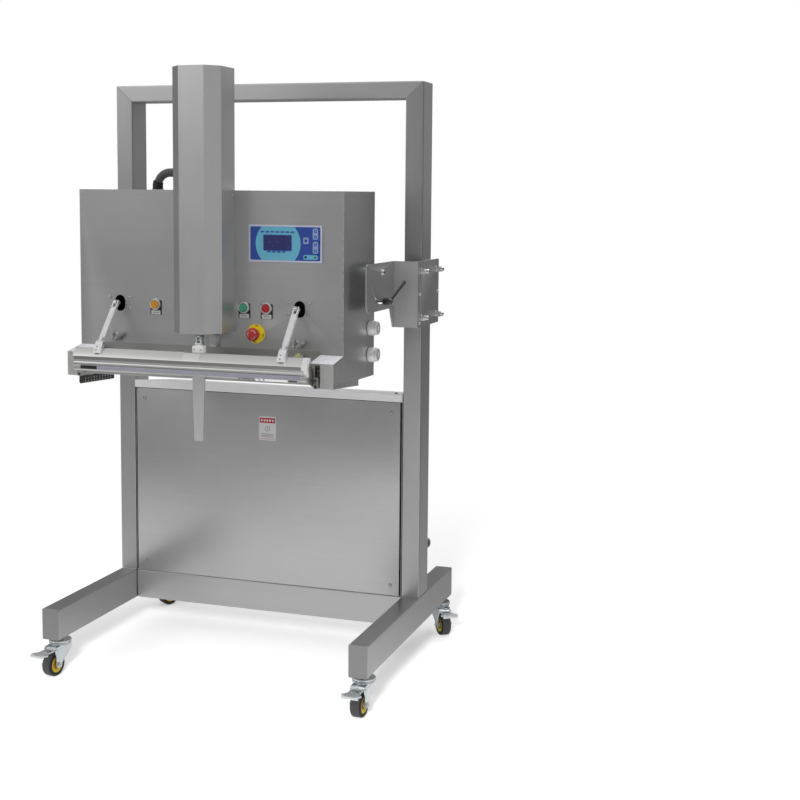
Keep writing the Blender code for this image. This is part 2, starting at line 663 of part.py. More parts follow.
def make_tower():
    tower = prism("tower_cover", tower_outline(0), "Z", TOWER_BOTTOM, TOWER_TOP)
    cut(tower, prism("tower_cavity", tower_outline(SHEET), "Z", TOWER_BOTTOM - 0.02, TOWER_TOP - SHEET))
    x, z = hose_end()
    cut(tower, face_hole("tower_hose_hole", x, z, HOSE_RADIUS + 0.0006, sides=16))
    paint(tower, STEEL, HEAD)


def hose_end():
    return HOSE_END_X, HOSE_START[2] + HOSE_RISE


def make_hose():
    """Up out of the head, over to the right, then forward into the tower."""
    x, y, z = HOSE_START
    bend = HOSE_BEND
    end_x, top = hose_end()
    rise = [(x + bend - bend * math.cos(a), y, top - bend + bend * math.sin(a)) for a in quarter(6)]
    bend_x = end_x - bend
    turn = [(bend_x + bend * math.sin(a), y - bend + bend * math.cos(a), top) for a in quarter(6)]
    route = [(x, y, z)] + rise + turn + [(end_x, HEAD_FRONT - 0.012, top)]
    curve = bpy.data.curves.new("vacuum_hose", "CURVE")
    curve.dimensions = "3D"
    curve.bevel_depth = HOSE_RADIUS
    curve.bevel_resolution = 1
    curve.use_fill_caps = True
    spline = curve.splines.new("POLY")
    spline.points.add(len(route) - 1)
    for point, place in zip(spline.points, route):
        point.co = (*place, 1)
    paint(add("vacuum_hose", curve), BLACK, HEAD)


def quarter(steps):
    return [math.pi / 2 * i / steps for i in range(steps + 1)]


def make_nozzle_cylinder():
    bottom, top, outer, bore = 1.410, 1.860, 0.023, 0.019
    profile = [
        (outer, top), (outer, bottom), (0.0068, bottom), (0.0068, bottom + 0.008), (bore, bottom + 0.008),
        (bore, top - 0.008), (0.002, top - 0.008), (0.002, top),
    ]
    barrel = turned("nozzle_cylinder", profile, (NOZZLE_X, NOZZLE_Y + 0.006, 0), (0, 0, 1))
    for name, z in (("lower", 1.425), ("upper", 1.800)):
        low = (NOZZLE_X - 0.020, NOZZLE_Y + 0.0265, z)
        high = (NOZZLE_X + 0.020, HEAD_FRONT - GAP - SHEET - GAP, z + 0.024)
        join(barrel, box(name + "_cylinder_bracket", low, high))
    paint(barrel, ALUMINIUM, HEAD)


def make_bar_cylinder(name, side):
    """A cylinder behind the oval opening, held off the front panel by a stirrup."""
    x = side * LINK_X
    z = ROD_Z
    face = HEAD_FRONT + SHEET + GAP
    flange = box(name + "_bar_cylinder", (x - 0.045, face, z - 0.036), (x + 0.045, face + 0.004, z + 0.036))
    cut(flange, oval(name + "_flange_oval", x, z - 0.002, face - 0.02, face + 0.02, 0.020, 0.0275))
    for label, low_x, high_x in (("near", x - 0.030, x - 0.026), ("far", x + 0.026, x + 0.030)):
        low, high = (low_x, face + 0.002, z - 0.020), (high_x, -0.372, z + 0.020)
        join(flange, box(f"{name}_cheek_{label}", low, high))
    plate = box(name + "_cylinder_plate", (x - 0.0295, -0.378, z - 0.019), (x + 0.0295, -0.373, z + 0.019))
    bore = 0.0142
    profile = [
        (0.018, 0.378), (0.018, 0.230), (0, 0.230), (0, 0.236), (bore, 0.236), (bore, 0.370),
        (0.0065, 0.370), (0.0065, 0.378),
    ]
    ring = [(max(radius, 0.002), height) for radius, height in profile]
    barrel = turned(name + "_barrel", ring, (x, 0, z), (0, -1, 0), steps=12)
    hole = cylinder(name + "_rod_hole", 0.0065, (x, -0.39, z), (x, -0.371, z))
    paint(join(flange, cut(plate, hole), barrel), DARK_STEEL, HEAD)


def make_lock_lever(name, side):
    axis = pivot(name + "_lock_axis", (0, LOCK_Y, LOCK_Z), (0, 0, 0), HEAD)
    face = BRACKET_INNER + PLATE + 0.0005
    profile = [
        (0, face + 0.027), (0.007, face + 0.026), (0.0100, face + 0.020), (0.0110, face), (0.004, face),
        (0.004, HEAD_HALF - 0.012), (0, HEAD_HALF - 0.012),
    ]
    lever = turned(name + "_lock_lever", profile, (0, 0, 0), (side, 0, 0), axis, steps=12)
    root, tip = Vector((side * (face + 0.019), 0.002, 0.002)), Vector((side * (face + 0.048), 0.056, 0.058))
    arm = cylinder(name + "_lever_arm", 0.0042, root, tip, axis, sides=8)
    grip = cylinder(name + "_lever_grip", 0.0055, root.lerp(tip, 0.55), tip, axis, sides=8)
    paint(join(lever, arm, grip), BLACK)


def make_buttons():
    for name, (x, colour) in BUTTONS.items():
        slide = pivot(name + "_axis", (x, HEAD_FRONT, BUTTON_Z), (0, 0, 0), HEAD)
        radius = BUTTON_RADIUS
        profile = [(0, 0.0135), (radius - 0.002, 0.0135), (radius, 0.012), (radius, -0.018), (0, -0.018)]
        paint(turned(name, profile, (0, 0, 0), (0, -1, 0), slide), (colour, 0.3, 0.0))
    front = HEAD_FRONT - GAP
    collar = [(0.0115, 0.014), (0.015, 0.014), (0.015, 0.003), (0.029, 0.0025), (0.029, 0), (0.0115, 0)]
    paint(turned("estop_base", collar, (ESTOP_X, front, ESTOP_Z), (0, -1, 0)), YELLOW, HEAD)
    slide = pivot("estop_axis", (ESTOP_X, front, ESTOP_Z), (0, 0, 0), HEAD)
    mushroom = [
        (0, 0.034), (0.012, 0.0335), (0.018, 0.031), (0.020, 0.027), (0.020, 0.022), (0.012, 0.020),
        (0.0105, 0.019), (0.0105, -0.020), (0, -0.020),
    ]
    paint(turned("estop_button", mushroom, (0, 0, 0), (0, -1, 0), slide), RED)


def make_knobs():
    for name, z in knob_heights():
        axis = pivot(name + "_axis", (HEAD_HALF, KNOB_Y, z), (0, 0, 0), HEAD)
        radius, depth = KNOB_RADIUS, KNOB_DEPTH
        profile = [
            (0, depth), (radius - 0.004, depth), (radius - 0.001, depth - 0.002),
            (radius - 0.001, depth - 0.008), (radius - 0.003, depth - 0.010), (radius - 0.003, depth - 0.013),
            (radius, depth - 0.015), (radius, 0.0008), (0.004, 0.0008), (0.004, -0.015), (0, -0.015),
        ]
        paint(turned(name, profile, (0, 0, 0), (1, 0, 0), axis, steps=16), ALUMINIUM)


# Sealing drive.
def make_press_bar():
    """Built closed in the hinge's frame, with a pocket behind it for the nozzle."""
    hinge = pivot("press_bar_hinge", (0, HINGE_Y, HINGE_Z), (OPEN_ANGLE, 0, 0), HEAD)
    face = 0.0025
    section = [
        (face, 0.020), (face, 0.088), (-0.0108, 0.0946), (-0.0373, 0.0774), (-0.0345, 0.0762),
        (-0.0359, 0.0585), (-0.0383, 0.0570), (-0.0398, 0.0526), (-0.0378, 0.0500), (-0.0420, 0.0496),
        (-0.0461, 0.0381), (-0.0404, 0.0303),
    ]
    bar = prism("press_bar", section, "X", -BAR_HALF + 0.004, BAR_HALF - 0.004, hinge)
    pocket_low, pocket_high = NOZZLE_X - 0.0275, NOZZLE_X + 0.0275
    cut(bar, box("nozzle_pocket", (pocket_low, -0.0140, 0), (pocket_high, 0.03, 0.12), hinge))
    end_outline = [
        (0.005, 0.002), (0.0035, 0.090), (-0.0108, 0.0960), (-0.0370, 0.0815), (-0.0480, 0.0381),
        (-0.0400, 0.0270),
    ]
    end_outline += arc((0, 0), 0.005, 200, 360, 5)
    for name, side in both_sides():
        low_x, high_x = across(side, BAR_HALF - 0.009, BAR_HALF)
        plate = prism(name + "_bar_end", end_outline, "X", low_x, high_x, hinge)
        pin_start, pin_end = (side * (BAR_HALF - 0.003), 0, 0), (side * 0.3935, 0, 0)
        pin = cylinder(name + "_hinge_pin", 0.003, pin_start, pin_end, hinge, sides=12)
        join(bar, plate, pin)
        join_lug(bar, name, side, hinge)
    paint(bar, ALUMINIUM)
    make_seal_strip(hinge, face, pocket_low, pocket_high)


def join_lug(bar, name, side, hinge):
    """Two ears and a pin that the link pulls on."""
    pin_y, pin_z = LINK_PIN
    outline = [(-0.026, 0.080), (-0.003, 0.086), (pin_y + 0.009, pin_z - 0.004)]
    outline += arc((pin_y, pin_z), 0.009, 0, 120, 4)
    outline += [(-0.024, 0.098)]
    for label, low, high in (("near", -0.0105, -0.0062), ("far", 0.0062, 0.0105)):
        centre = side * LINK_X
        join(bar, prism(f"{name}_lug_{label}", outline, "X", centre + low, centre + high, hinge))
    start, end = (side * LINK_X - 0.009, pin_y, pin_z), (side * LINK_X + 0.009, pin_y, pin_z)
    join(bar, cylinder(name + "_lug_pin", 0.003, start, end, hinge, sides=12))


def make_seal_strip(hinge, face, pocket_low, pocket_high):
    """A silicone band along the bar's face that lines the nozzle pocket on its way past."""
    back, front, floor = face + GAP, face + 0.003, -0.0137
    skin, reach = 0.0024, BAR_HALF - 0.0105
    left, right = pocket_low + GAP, pocket_high - GAP
    plan = [
        (-reach, back), (-reach, front), (left + skin, front), (left + skin, floor + skin),
        (right - skin, floor + skin), (right - skin, front), (reach, front), (reach, back),
        (right, back), (right, floor), (left, floor), (left, back),
    ]
    paint(prism("seal_strip", plan, "Z", 0.028, 0.048, hinge), SILICONE)


def make_drive(name, side):
    x = side * LINK_X
    rod_end = pivot(name + "_rod_end", (x, ROD_Y, ROD_Z), (0, 0, 0), HEAD)
    rod = cylinder(name + "_rod", 0.006, (0, 0.0130, 0), (0, 0.088, 0), rod_end)
    neck = cylinder(name + "_rod_neck", 0.0040, (0, 0.006, 0), (0, 0.016, 0), rod_end, sides=12)
    eye = cylinder(name + "_rod_eye", 0.009, (-0.0042, 0, 0), (0.0042, 0, 0), rod_end)
    piston = cylinder(name + "_piston", 0.0136, (0, 0.083, 0), (0, 0.091, 0), rod_end)
    bore = cylinder(name + "_eye_bore", 0.0043, (-0.01, 0, 0), (0.01, 0, 0), rod_end)
    paint(cut(join(rod, neck, eye, piston), bore), CHROME)
    swing = pivot(name + "_link_axis", (0, 0, 0), (-LINK_ANGLE, 0, 0), rod_end)
    length = LINK_LENGTH
    link = box(name + "_link", (-0.009, -0.0045, 0.016 - length), (0.009, 0.0045, 0.0078), swing)
    cut(link, box(name + "_link_fork", (-0.0048, -0.02, -0.018), (0.0048, 0.02, 0.03), swing))
    outline = arc((0, -length), 0.0085, 180, 360, 6)
    outline += [(0.0085, 0.010 - length), (0.0042, 0.022 - length), (-0.0042, 0.022 - length)]
    outline += [(-0.0085, 0.010 - length)]
    tongue = prism(name + "_link_tongue", outline, "X", -0.0045, 0.0045, swing)
    hole = cylinder(name + "_tongue_hole", 0.0052, (-0.02, 0, -length), (0.02, 0, -length), swing)
    pin = cylinder(name + "_link_pin", 0.004, (-0.0082, 0, 0), (0.0082, 0, 0), swing)
    paint(join(cut(join(link, tongue), hole), pin), WHITE)


def make_nozzle():
    carrier = pivot("nozzle_axis", (NOZZLE_X, NOZZLE_Y, 0), (0, 0, 0), HEAD)
    wide, narrow, shoulder = 0.0195, 0.0145, 0.975
    outline = [
        (-wide, NOZZLE_TOP), (-wide, shoulder), (-narrow, NOZZLE_TIP), (narrow, NOZZLE_TIP), (wide, shoulder),
        (wide, NOZZLE_TOP),
    ]
    passage = [
        (0.003 - wide, NOZZLE_TOP + 0.01), (0.003 - wide, shoulder), (0.003 - narrow, NOZZLE_TIP - 0.01),
        (narrow - 0.003, NOZZLE_TIP - 0.01), (wide - 0.003, shoulder), (wide - 0.003, NOZZLE_TOP + 0.01),
    ]
    nozzle = prism("nozzle", outline, "Y", -0.004, 0.004, carrier)
    cut(nozzle, prism("nozzle_passage", passage, "Y", -0.0018, 0.0018, carrier))
    block_low, block_high = (-0.0200, -0.010, NOZZLE_TOP - 0.002), (0.0200, 0.014, BLOCK_TOP)
    paint(join(nozzle, box("nozzle_block", block_low, block_high, carrier)), STEEL)
    rod_y = 0.006
    fork_low, fork_high = (-0.008, rod_y - 0.008, BLOCK_TOP + GAP), (0.008, rod_y + 0.008, 1.118)
    rod = box("nozzle_rod", fork_low, fork_high, carrier, edge=0.001)
    shaft = cylinder("nozzle_shaft", 0.0064, (0, rod_y, 1.110), (0, rod_y, 1.445), carrier)
    piston = cylinder("nozzle_piston", 0.0184, (0, rod_y, 1.430), (0, rod_y, 1.450), carrier)
    paint(join(rod, shaft, piston), CHROME)


make_stand()
for place_name, (place_x, place_y) in caster_places().items():
    make_caster(place_name, place_x, place_y, CASTER_HEADINGS[place_name])
make_cabinet()
make_carriage()
make_housing()
make_jaw()
make_control_panel()
make_tower()
make_hose()
make_nozzle_cylinder()
for side_name, side_sign in both_sides():
    make_bar_cylinder(side_name, side_sign)
    make_lock_lever(side_name, side_sign)
    make_drive(side_name, side_sign)
make_buttons()
make_knobs()
make_press_bar()
make_nozzle()
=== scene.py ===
"""Looks for the vertical nozzle vacuum sealer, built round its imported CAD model.

Positions are in the machine's own frame: x = 0 midway between the posts, y = 0 on the posts' front faces.
The machine's shapes are drawn in millimetres. The floor, the lights and the camera are in metres.
"""

from math import atan2, cos, pi, radians, sin

import bmesh
import bpy
from mathutils import Matrix, Vector


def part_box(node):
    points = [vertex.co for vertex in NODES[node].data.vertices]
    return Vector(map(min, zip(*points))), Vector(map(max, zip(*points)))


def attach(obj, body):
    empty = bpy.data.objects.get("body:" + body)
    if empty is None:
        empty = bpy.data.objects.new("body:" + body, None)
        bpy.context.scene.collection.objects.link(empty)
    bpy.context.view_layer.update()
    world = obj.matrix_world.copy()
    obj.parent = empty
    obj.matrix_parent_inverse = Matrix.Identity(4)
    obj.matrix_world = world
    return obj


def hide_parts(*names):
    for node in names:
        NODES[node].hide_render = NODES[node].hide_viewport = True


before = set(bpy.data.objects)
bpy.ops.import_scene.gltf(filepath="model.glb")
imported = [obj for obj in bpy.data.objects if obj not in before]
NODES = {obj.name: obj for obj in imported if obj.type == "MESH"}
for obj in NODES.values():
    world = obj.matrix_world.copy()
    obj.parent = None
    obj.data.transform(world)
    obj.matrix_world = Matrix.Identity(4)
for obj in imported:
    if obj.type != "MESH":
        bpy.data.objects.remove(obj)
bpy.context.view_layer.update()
HEADINGS = {"front_left": -7, "front_right": -2, "rear_left": -28, "rear_right": 38}
SIDES = (("left", -1), ("right", 1))
OPEN_ANGLE = radians(19)
LINK_ANGLE = radians(39.86)
HEAD_Y = -423.2  # the head's front face
MM = 0.001
FLOOR_ALBEDO, FLOOR_LIFT, FLOOR_GLOW = 0.80, 0.32, 0.36
SKY_FRONT, SKY_BACK, SKY_LEFT, SKY_ABOVE = 0.27, 0.10, 0.10, 0.50
LIGHTS = (
    ("key", (-2.6, -3.4, 3.4), (0, -0.2, 0.9), 2.6, 24),
    ("fill", (3.6, -2.8, 2.0), (0, 0, 0.8), 2.6, 6),
    ("top", (1.2, 1.8, 4.0), (0, 0, 0.4), 2.2, 44),
    ("back", (2.0, 3.6, 2.4), (0, 0.2, 0.9), 2.4, 5),
)

left_post, right_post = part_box("left_post"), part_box("right_post")
CENTRE = Vector(((left_post[0].x + right_post[1].x) / 2, left_post[0].y, 0))
MACHINE = Matrix.Translation(CENTRE)


# Materials.
class Nodes:
    """A short way to write a node tree."""

    def __init__(self, tree, shader, space):
        self.tree = tree
        self.shader = tree.nodes[shader]
        self.coords = self.add("TexCoord").outputs[space]

    def put(self, value, socket):
        """Sets a socket, or links another node's output to it."""
        if isinstance(value, bpy.types.NodeSocket):
            self.tree.links.new(value, socket)
        else:
            socket.default_value = value

    def add(self, kind, values=None, **settings):
        node = self.tree.nodes.new("ShaderNode" + kind)
        for key, value in settings.items():
            setattr(node, key, value)
        for key, value in (values or {}).items():
            self.put(value, node.inputs[key])
        return node

    def shade(self, values):
        for key, value in values.items():
            self.put(value, self.shader.inputs[key])

    def noise(self, stretch, detail=3, roughness=0.6):
        """Noise over the object's own coordinates, with cycles per metre along each axis."""
        mapping = self.add("Mapping", {"Vector": self.coords, "Scale": stretch})
        values = {"Vector": mapping.outputs["Vector"], "Scale": 1, "Detail": detail, "Roughness": roughness}
        return self.add("TexNoise", values).outputs["Fac"]

    def math(self, operation, *values):
        return self.add("Math", dict(enumerate(values)), operation=operation).outputs["Value"]

    def spread(self, value, low, high, start=0.25, end=0.75, **settings):
        """Maps the middle half of a noise, or another range, onto low to high."""
        values = {"Value": value, "From Min": start, "From Max": end, "To Min": low, "To Max": high}
        return self.add("MapRange", values, **settings).outputs["Result"]

    def soft(self, value, low, high, start, end):
        return self.spread(value, low, high, start, end, interpolation_type="SMOOTHSTEP")

    def tint(self, colour, factor):
        """A colour, or a grey level, multiplied by a factor that varies over the surface."""
        colour = colour if isinstance(colour, tuple) else (colour,) * 3
        return self.add("VectorMath", {0: colour, "Scale": factor}, operation="SCALE").outputs["Vector"]

    def edges(self):
        """1 on convex edges and 0 on flats."""
        return self.spread(self.add("NewGeometry").outputs["Pointiness"], 0, 1, 0.52, 0.60)

    def bump(self, height, strength, distance):
        node = self.add("Bump", {"Strength": strength, "Distance": distance, "Height": height})
        self.shade({"Normal": node.outputs["Normal"]})


def surface(name):
    """A new material and its nodes."""
    material = bpy.data.materials.new(name)
    material.use_nodes = True
    return material, Nodes(material.node_tree, "Principled BSDF", "Object")


def stretched(axis, along, across):
    return [along if name == axis else across for name in "XYZ"]


def steel(name, colour, roughness, axis, grain=0.10, cloud=0.05, edge_wear_and_highlight=0.25, metallic=1):
    """Brushed steel: fine grain and soft streaks along one axis, faint clouds, and brighter edges, partly worn and
    partly a painted highlight.
    """
    material, nodes = surface(name)
    fine = nodes.noise(stretched(axis, 14, 900), 4, 0.75)
    streak = nodes.noise(stretched(axis, 2, 70))
    clouds = nodes.noise((5, 5, 5), roughness=0.5)
    shade = nodes.math("ADD", nodes.spread(fine, 1 - grain / 2, 1 + grain / 2), nodes.spread(streak, -0.02, 0.02))
    shade = nodes.math("ADD", shade, nodes.spread(clouds, -cloud / 2, cloud / 2))
    # Convex edges are lightened: partly worn metal, partly a painted highlight.
    shade = nodes.math("MULTIPLY_ADD", nodes.edges(), edge_wear_and_highlight, shade)
    rough = nodes.spread(fine, roughness - 0.04, roughness + 0.04)
    rough = nodes.math("ADD", rough, nodes.spread(clouds, -0.03, 0.03))
    nodes.shade({"Base Color": nodes.tint(colour, shade), "Roughness": rough, "Metallic": metallic})
    nodes.bump(fine, 0.05, 0.0001)
    return material


def polished(name, colour, roughness, edge_wear_and_highlight=0.2):
    """Plated or turned metal, with faint smears and small dents in its shine, and edges brightened partly as worn
    metal and partly as a painted highlight.
    """
    material, nodes = surface(name)
    smear = nodes.noise((60, 60, 60), 4)
    # Convex edges are lightened: partly worn metal, partly a painted highlight.
    shade = nodes.math("MULTIPLY_ADD", nodes.edges(), edge_wear_and_highlight, nodes.spread(smear, 0.94, 1.03))
    rough = nodes.spread(smear, roughness * 0.7, roughness * 1.4)
    nodes.shade({"Base Color": nodes.tint(colour, shade), "Roughness": rough, "Metallic": 1})
    nodes.bump(nodes.noise((700, 700, 700), 2), 0.06, 0.0002)
    return material


def plastic(name, colour, roughness, grain=0.25, coat=0, scale=900):
    """Moulded plastic or rubber with a fine texture and a little colour variation."""
    material, nodes = surface(name)
    fine = nodes.noise((scale, scale, scale))
    broad = nodes.noise((40, 40, 40))
    shade = nodes.math("ADD", nodes.spread(broad, 0.95, 1.05), nodes.spread(fine, -0.03, 0.03))
    rough = nodes.spread(broad, roughness - 0.05, roughness + 0.05)
    nodes.shade({"Base Color": nodes.tint(colour, shade), "Roughness": rough, "Coat Weight": coat})
    nodes.bump(fine, grain, 0.0003)
    return material


def glow(name, colour, strength):
    """A surface that emits light: a lit display, or painted light on a part that is no lamp."""
    material = plastic(name, colour, 0.25, 0.02)
    inputs = material.node_tree.nodes["Principled BSDF"].inputs
    inputs["Emission Color"].default_value = (*colour, 1)
    inputs["Emission Strength"].default_value = strength
    return material


STEEL_X = steel("steel_brushed_across", 0.50, 0.36, "X")
STEEL_Y = steel("steel_brushed_front_to_back", 0.42, 0.36, "Y")
# A lighter, half-matte copy of the cabinet steel, so the lid's top reads brightly lit: painted light.
STEEL_LID = steel("steel_lid", 0.90, 0.40, "X", metallic=0.45)
# A darker copy of the brushed steel, laid on the legs' front ends: painted shade.
STEEL_CAP_SHADED = steel("steel_leg_cap_shaded", 0.30, 0.40, "X")
STEEL_Z = steel("steel_brushed_upright", 0.40, 0.36, "Z")
STEEL_HEAD = steel("steel_head_sheet", 0.52, 0.38, "X", cloud=0.06)
STEEL_TOWER = steel("steel_tower_sheet", 0.62, 0.36, "Z")
STEEL_DARK = steel("steel_bracket", 0.46, 0.44, "Z", cloud=0.08, edge_wear_and_highlight=0.5)
ALUMINIUM = steel("aluminium_extruded", (0.55, 0.55, 0.54), 0.36, "X", grain=0.07, edge_wear_and_highlight=0.15)
# A darker copy of the aluminium: on the bar's long groove band it is painted shade; it also colours a short strip on
# the bar's right third.
GROOVE = steel("aluminium_groove", 0.26, 0.40, "X", grain=0.07, edge_wear_and_highlight=0.1)
TURNED = polished("aluminium_turned", (0.86, 0.86, 0.85), 0.26)
CHROME = polished("chrome", 0.55, 0.13)
ZINC = polished("zinc_plate", (0.56, 0.60, 0.62), 0.22, edge_wear_and_highlight=0.35)
KNOB = polished("knob_satin", (0.95, 0.96, 0.95), 0.52, edge_wear_and_highlight=0.05)
BEZEL = polished("button_bezel", (0.85, 0.86, 0.85), 0.40, edge_wear_and_highlight=0.1)
# Dark zinc for slots, gaps, holes and grooves: painted shade.
ZINC_DARK = polished("zinc_shadow", (0.20, 0.21, 0.22), 0.35)
BLACK = plastic("plastic_black", (0.018, 0.018, 0.019), 0.42)
BLACK_GLOSS = plastic("plastic_black_gloss", (0.012, 0.012, 0.013), 0.20, 0.05, 1.0)
PEDAL = polished("zinc_pedal", (0.90, 0.93, 0.95), 0.42, edge_wear_and_highlight=0.1)
# A light grey for the hose's raised ribs, standing in for their glints: painted highlights.
HOSE_RIB_HIGHLIGHT = plastic("hose_rib_painted_highlight", (0.30, 0.30, 0.31), 0.35, 0.10)
TYRE = plastic("tyre_rubber", (0.028, 0.028, 0.029), 0.66, 0.5)
TREAD = plastic("tyre_tread", (0.110, 0.110, 0.112), 0.80, 0.6)
HUB_YELLOW = plastic("hub_yellow", (0.92, 0.74, 0.05), 0.42)
# A darker orange copy of the hub's yellow for its recessed web: painted shade.
HUB_SHADED = plastic("hub_yellow_in_painted_shade", (0.58, 0.26, 0.01), 0.50)
WHITE = plastic("nylon_white", 0.80, 0.40, 0.12)
ARM_WHITE = plastic("arm_enamel", (0.97, 0.97, 0.98), 0.26, 0.05, 0.3)
SMOKE = plastic("spring_sleeve", 0.50, 0.30, 0.05)
# A dark tone for the vented strip on the left foot's inner wall, seen from inside: painted shade.
VENT_SHADED = plastic("vent_strip", (0.055, 0.052, 0.045), 0.55, 0.6)
LAVENDER = plastic("strip_lavender", (0.44, 0.44, 0.53), 0.35, 0.08)
BROWN = plastic("hinge_block_brown", (0.22, 0.205, 0.18), 0.60)
SILICONE = plastic("silicone", (0.42, 0.14, 0.10), 0.55, 0.15)
GLASS_TAPE = plastic("heat_tape", (0.34, 0.24, 0.15), 0.50, 0.7, scale=2500)
YELLOW_CLEAR = plastic("fitting_yellow", (0.66, 0.72, 0.30), 0.25, 0.05, 0.5)
BUTTON_AMBER = plastic("button_amber", (0.80, 0.36, 0.015), 0.28, 0.04, 0.5)
BUTTON_GREEN = plastic("button_green", (0.055, 0.42, 0.22), 0.28, 0.04, 0.5)
BUTTON_RED = plastic("button_red", (0.52, 0.004, 0.014), 0.28, 0.04, 0.5)
STOP_RED = plastic("stop_red", (0.68, 0.030, 0.028), 0.36, 0.05, 0.3)
# The stop's yellow disc emits a little light though it is no lamp: painted light.
STOP_YELLOW = glow("stop_yellow", (0.85, 0.66, 0.02), 0.22)
LABEL_WHITE = plastic("label_white", 0.78, 0.45, 0.03)
LABEL_RED = plastic("label_red", (0.52, 0.03, 0.04), 0.45, 0.03)
LABEL_GREY = plastic("label_grey", (0.30, 0.30, 0.32), 0.45, 0.03)
PANEL_BLUE = plastic("panel_blue", (0.026, 0.075, 0.40), 0.30, 0.06, 0.2)
PANEL_SKY = plastic("panel_sky", (0.16, 0.55, 0.74), 0.32, 0.04, 0.2)
PANEL_KEY = plastic("panel_key", (0.34, 0.44, 0.72), 0.32, 0.04, 0.2)
OLIVE = plastic("panel_olive", (0.16, 0.15, 0.03), 0.32, 0.04)
PANEL_WHITE = plastic("panel_white", (0.66, 0.69, 0.84), 0.35, 0.04)
SCREEN = glow("panel_screen", (0.028, 0.032, 0.150), 0.1)
# The white nozzle block emits light to stay bright where it sits in shade: painted light.
BLOCK_WHITE = glow("nozzle_block_white", (0.93, 0.93, 0.92), 0.28)
# Thin sheets over the head's feet: the top sheet emits light so the tops read lit, painted light; the front sheet is
# a matte grey toned to the front's brightness, painted shading.
FOOT_TOP = glow("foot_top_sheet", (0.84, 0.84, 0.88), 0.20)
FOOT_FRONT = plastic("foot_front_sheet", (0.52, 0.52, 0.51), 0.40, 0.05)


# Shape helpers. Each returns a mesh in its own frame.
def to_mesh(work, smooth=35):
    bmesh.ops.recalc_face_normals(work, faces=work.faces)
    mesh = bpy.data.meshes.new("shape")
    work.to_mesh(mesh)
    work.free()
    mesh.shade_smooth()
    mesh.set_sharp_from_angle(angle=radians(smooth))
    return mesh


def round_edges(work, width, segments):
    """Bevels the edges sharper than 30 degrees."""
    limit = radians(30)
    edges = [edge for edge in work.edges if len(edge.link_faces) == 2 and edge.calc_face_angle(0) > limit]
    bmesh.ops.bevel(work, geom=edges, offset=width * MM, segments=segments, profile=0.5, affect="EDGES",
                    clamp_overlap=True)


def block(size, edge=0.6, segments=2):
    """A box about its centre with rounded edges."""
    work = bmesh.new()
    bmesh.ops.create_cube(work, size=1)
    bmesh.ops.scale(work, vec=Vector(size) * MM, verts=work.verts)
    round_edges(work, edge, segments)
    return to_mesh(work)


def level(work, outline, height):
    return [work.verts.new((x * MM, y * MM, height * MM)) for x, y in outline]


def bridge(work, loops):
    """Faces from each loop of vertices to the next. A loop may be a single point."""
    for first, second in zip(loops, loops[1:]):
        count = max(len(first), len(second))
        for i in range(count):
            j = (i + 1) % count
            corners = first[i % len(first)], first[j % len(first)], second[j % len(second)], second[i % len(second)]
            unique = list(dict.fromkeys(corners))
            if len(unique) > 2:
                work.faces.new(unique)


def plate(outline, low, high, edge=0.4, segments=2):
    """An outline in x and y, made solid between two heights."""
    work = bmesh.new()
    bottom, top = level(work, outline, low), level(work, outline, high)
    work.faces.new(bottom)
    work.faces.new(top[::-1])
    bridge(work, [top, bottom])
    if edge:
        round_edges(work, edge, segments)
    return to_mesh(work)


def both_ways(profile):
    """A profile followed by its mirror image below height 0."""
    return profile + [(radius, -height) for radius, height in reversed(profile) if height]


def lathe(profile, steps=48, smooth=32):
    """A profile of (radius, height) turned about Z. A closed ring has no point on the axis."""
    work = bmesh.new()
    rings = []
    for radius, height in profile:
        outline = arc((0, 0), radius, 0, 360 - 360 / steps, steps - 1) if radius else [(0, 0)]
        rings.append(level(work, outline, height))
    if all(radius for radius, _ in profile):
        rings.append(rings[0])
    bridge(work, rings)
    return to_mesh(work, smooth)


def hexagon(across, low, high, edge=0.5):
    """A hexagonal prism, measured across its flats."""
    radius = across / 2 / cos(pi / 6)
    return plate(arc((0, 0), radius, 0, 300, 5), low, high, edge)


def arc(centre, radius, start, end, steps):
    points = []
    for i in range(steps + 1):
        angle = radians(start + (end - start) * i / steps)
        points.append((centre[0] + radius * cos(angle), centre[1] + radius * sin(angle)))
    return points


def pill(width, height, radius, steps=6):
    """A rounded rectangle outline about its centre."""
    points = []
    for sign_x, sign_y, start in ((1, 1, 0), (-1, 1, 90), (-1, -1, 180), (1, -1, 270)):
        centre = (sign_x * (width / 2 - radius), sign_y * (height / 2 - radius))
        points += arc(centre, radius, start, start + 90, steps)
    return points


def ring(outer, inner, low, high, steps=48):
    """A flat ring with softened edges."""
    soft = min(0.3, (outer - inner) / 4, (high - low) / 4)
    return lathe([
        (outer - soft, high), (outer, high - soft), (outer, low + soft), (outer - soft, low),
        (inner + soft, low), (inner, low + soft), (inner, high - soft), (inner + soft, high),
    ], steps)


def sweep(points, radii, sides=10, smooth=50):
    """A round tube along points, with a radius at each and closed ends."""
    work = bmesh.new()
    points = [Vector(p) * MM for p in points]
    rings, normal = [], None
    for i, (point, radius) in enumerate(zip(points, radii)):
        ahead = (points[min(i + 1, len(points) - 1)] - points[max(i - 1, 0)]).normalized()
        if normal is None:
            normal = ahead.orthogonal()
        normal = (normal - ahead * normal.dot(ahead)).normalized()
        side = ahead.cross(normal)
        angles = [2 * pi * k / sides for k in range(sides)]
        rings.append([work.verts.new(point + radius * MM * (cos(a) * normal + sin(a) * side)) for a in angles])
    bridge(work, rings)
    work.faces.new(rings[0])
    work.faces.new(rings[-1][::-1])
    return to_mesh(work, smooth)


def wire(points, radius, sides=10):
    """A round wire along points, with closed ends."""
    return sweep(points, [radius] * len(points), sides)


# Placing helpers.
def at(x, y, z):
    return Matrix.Translation(Vector((x, y, z)) * MM)


HERE = Matrix()


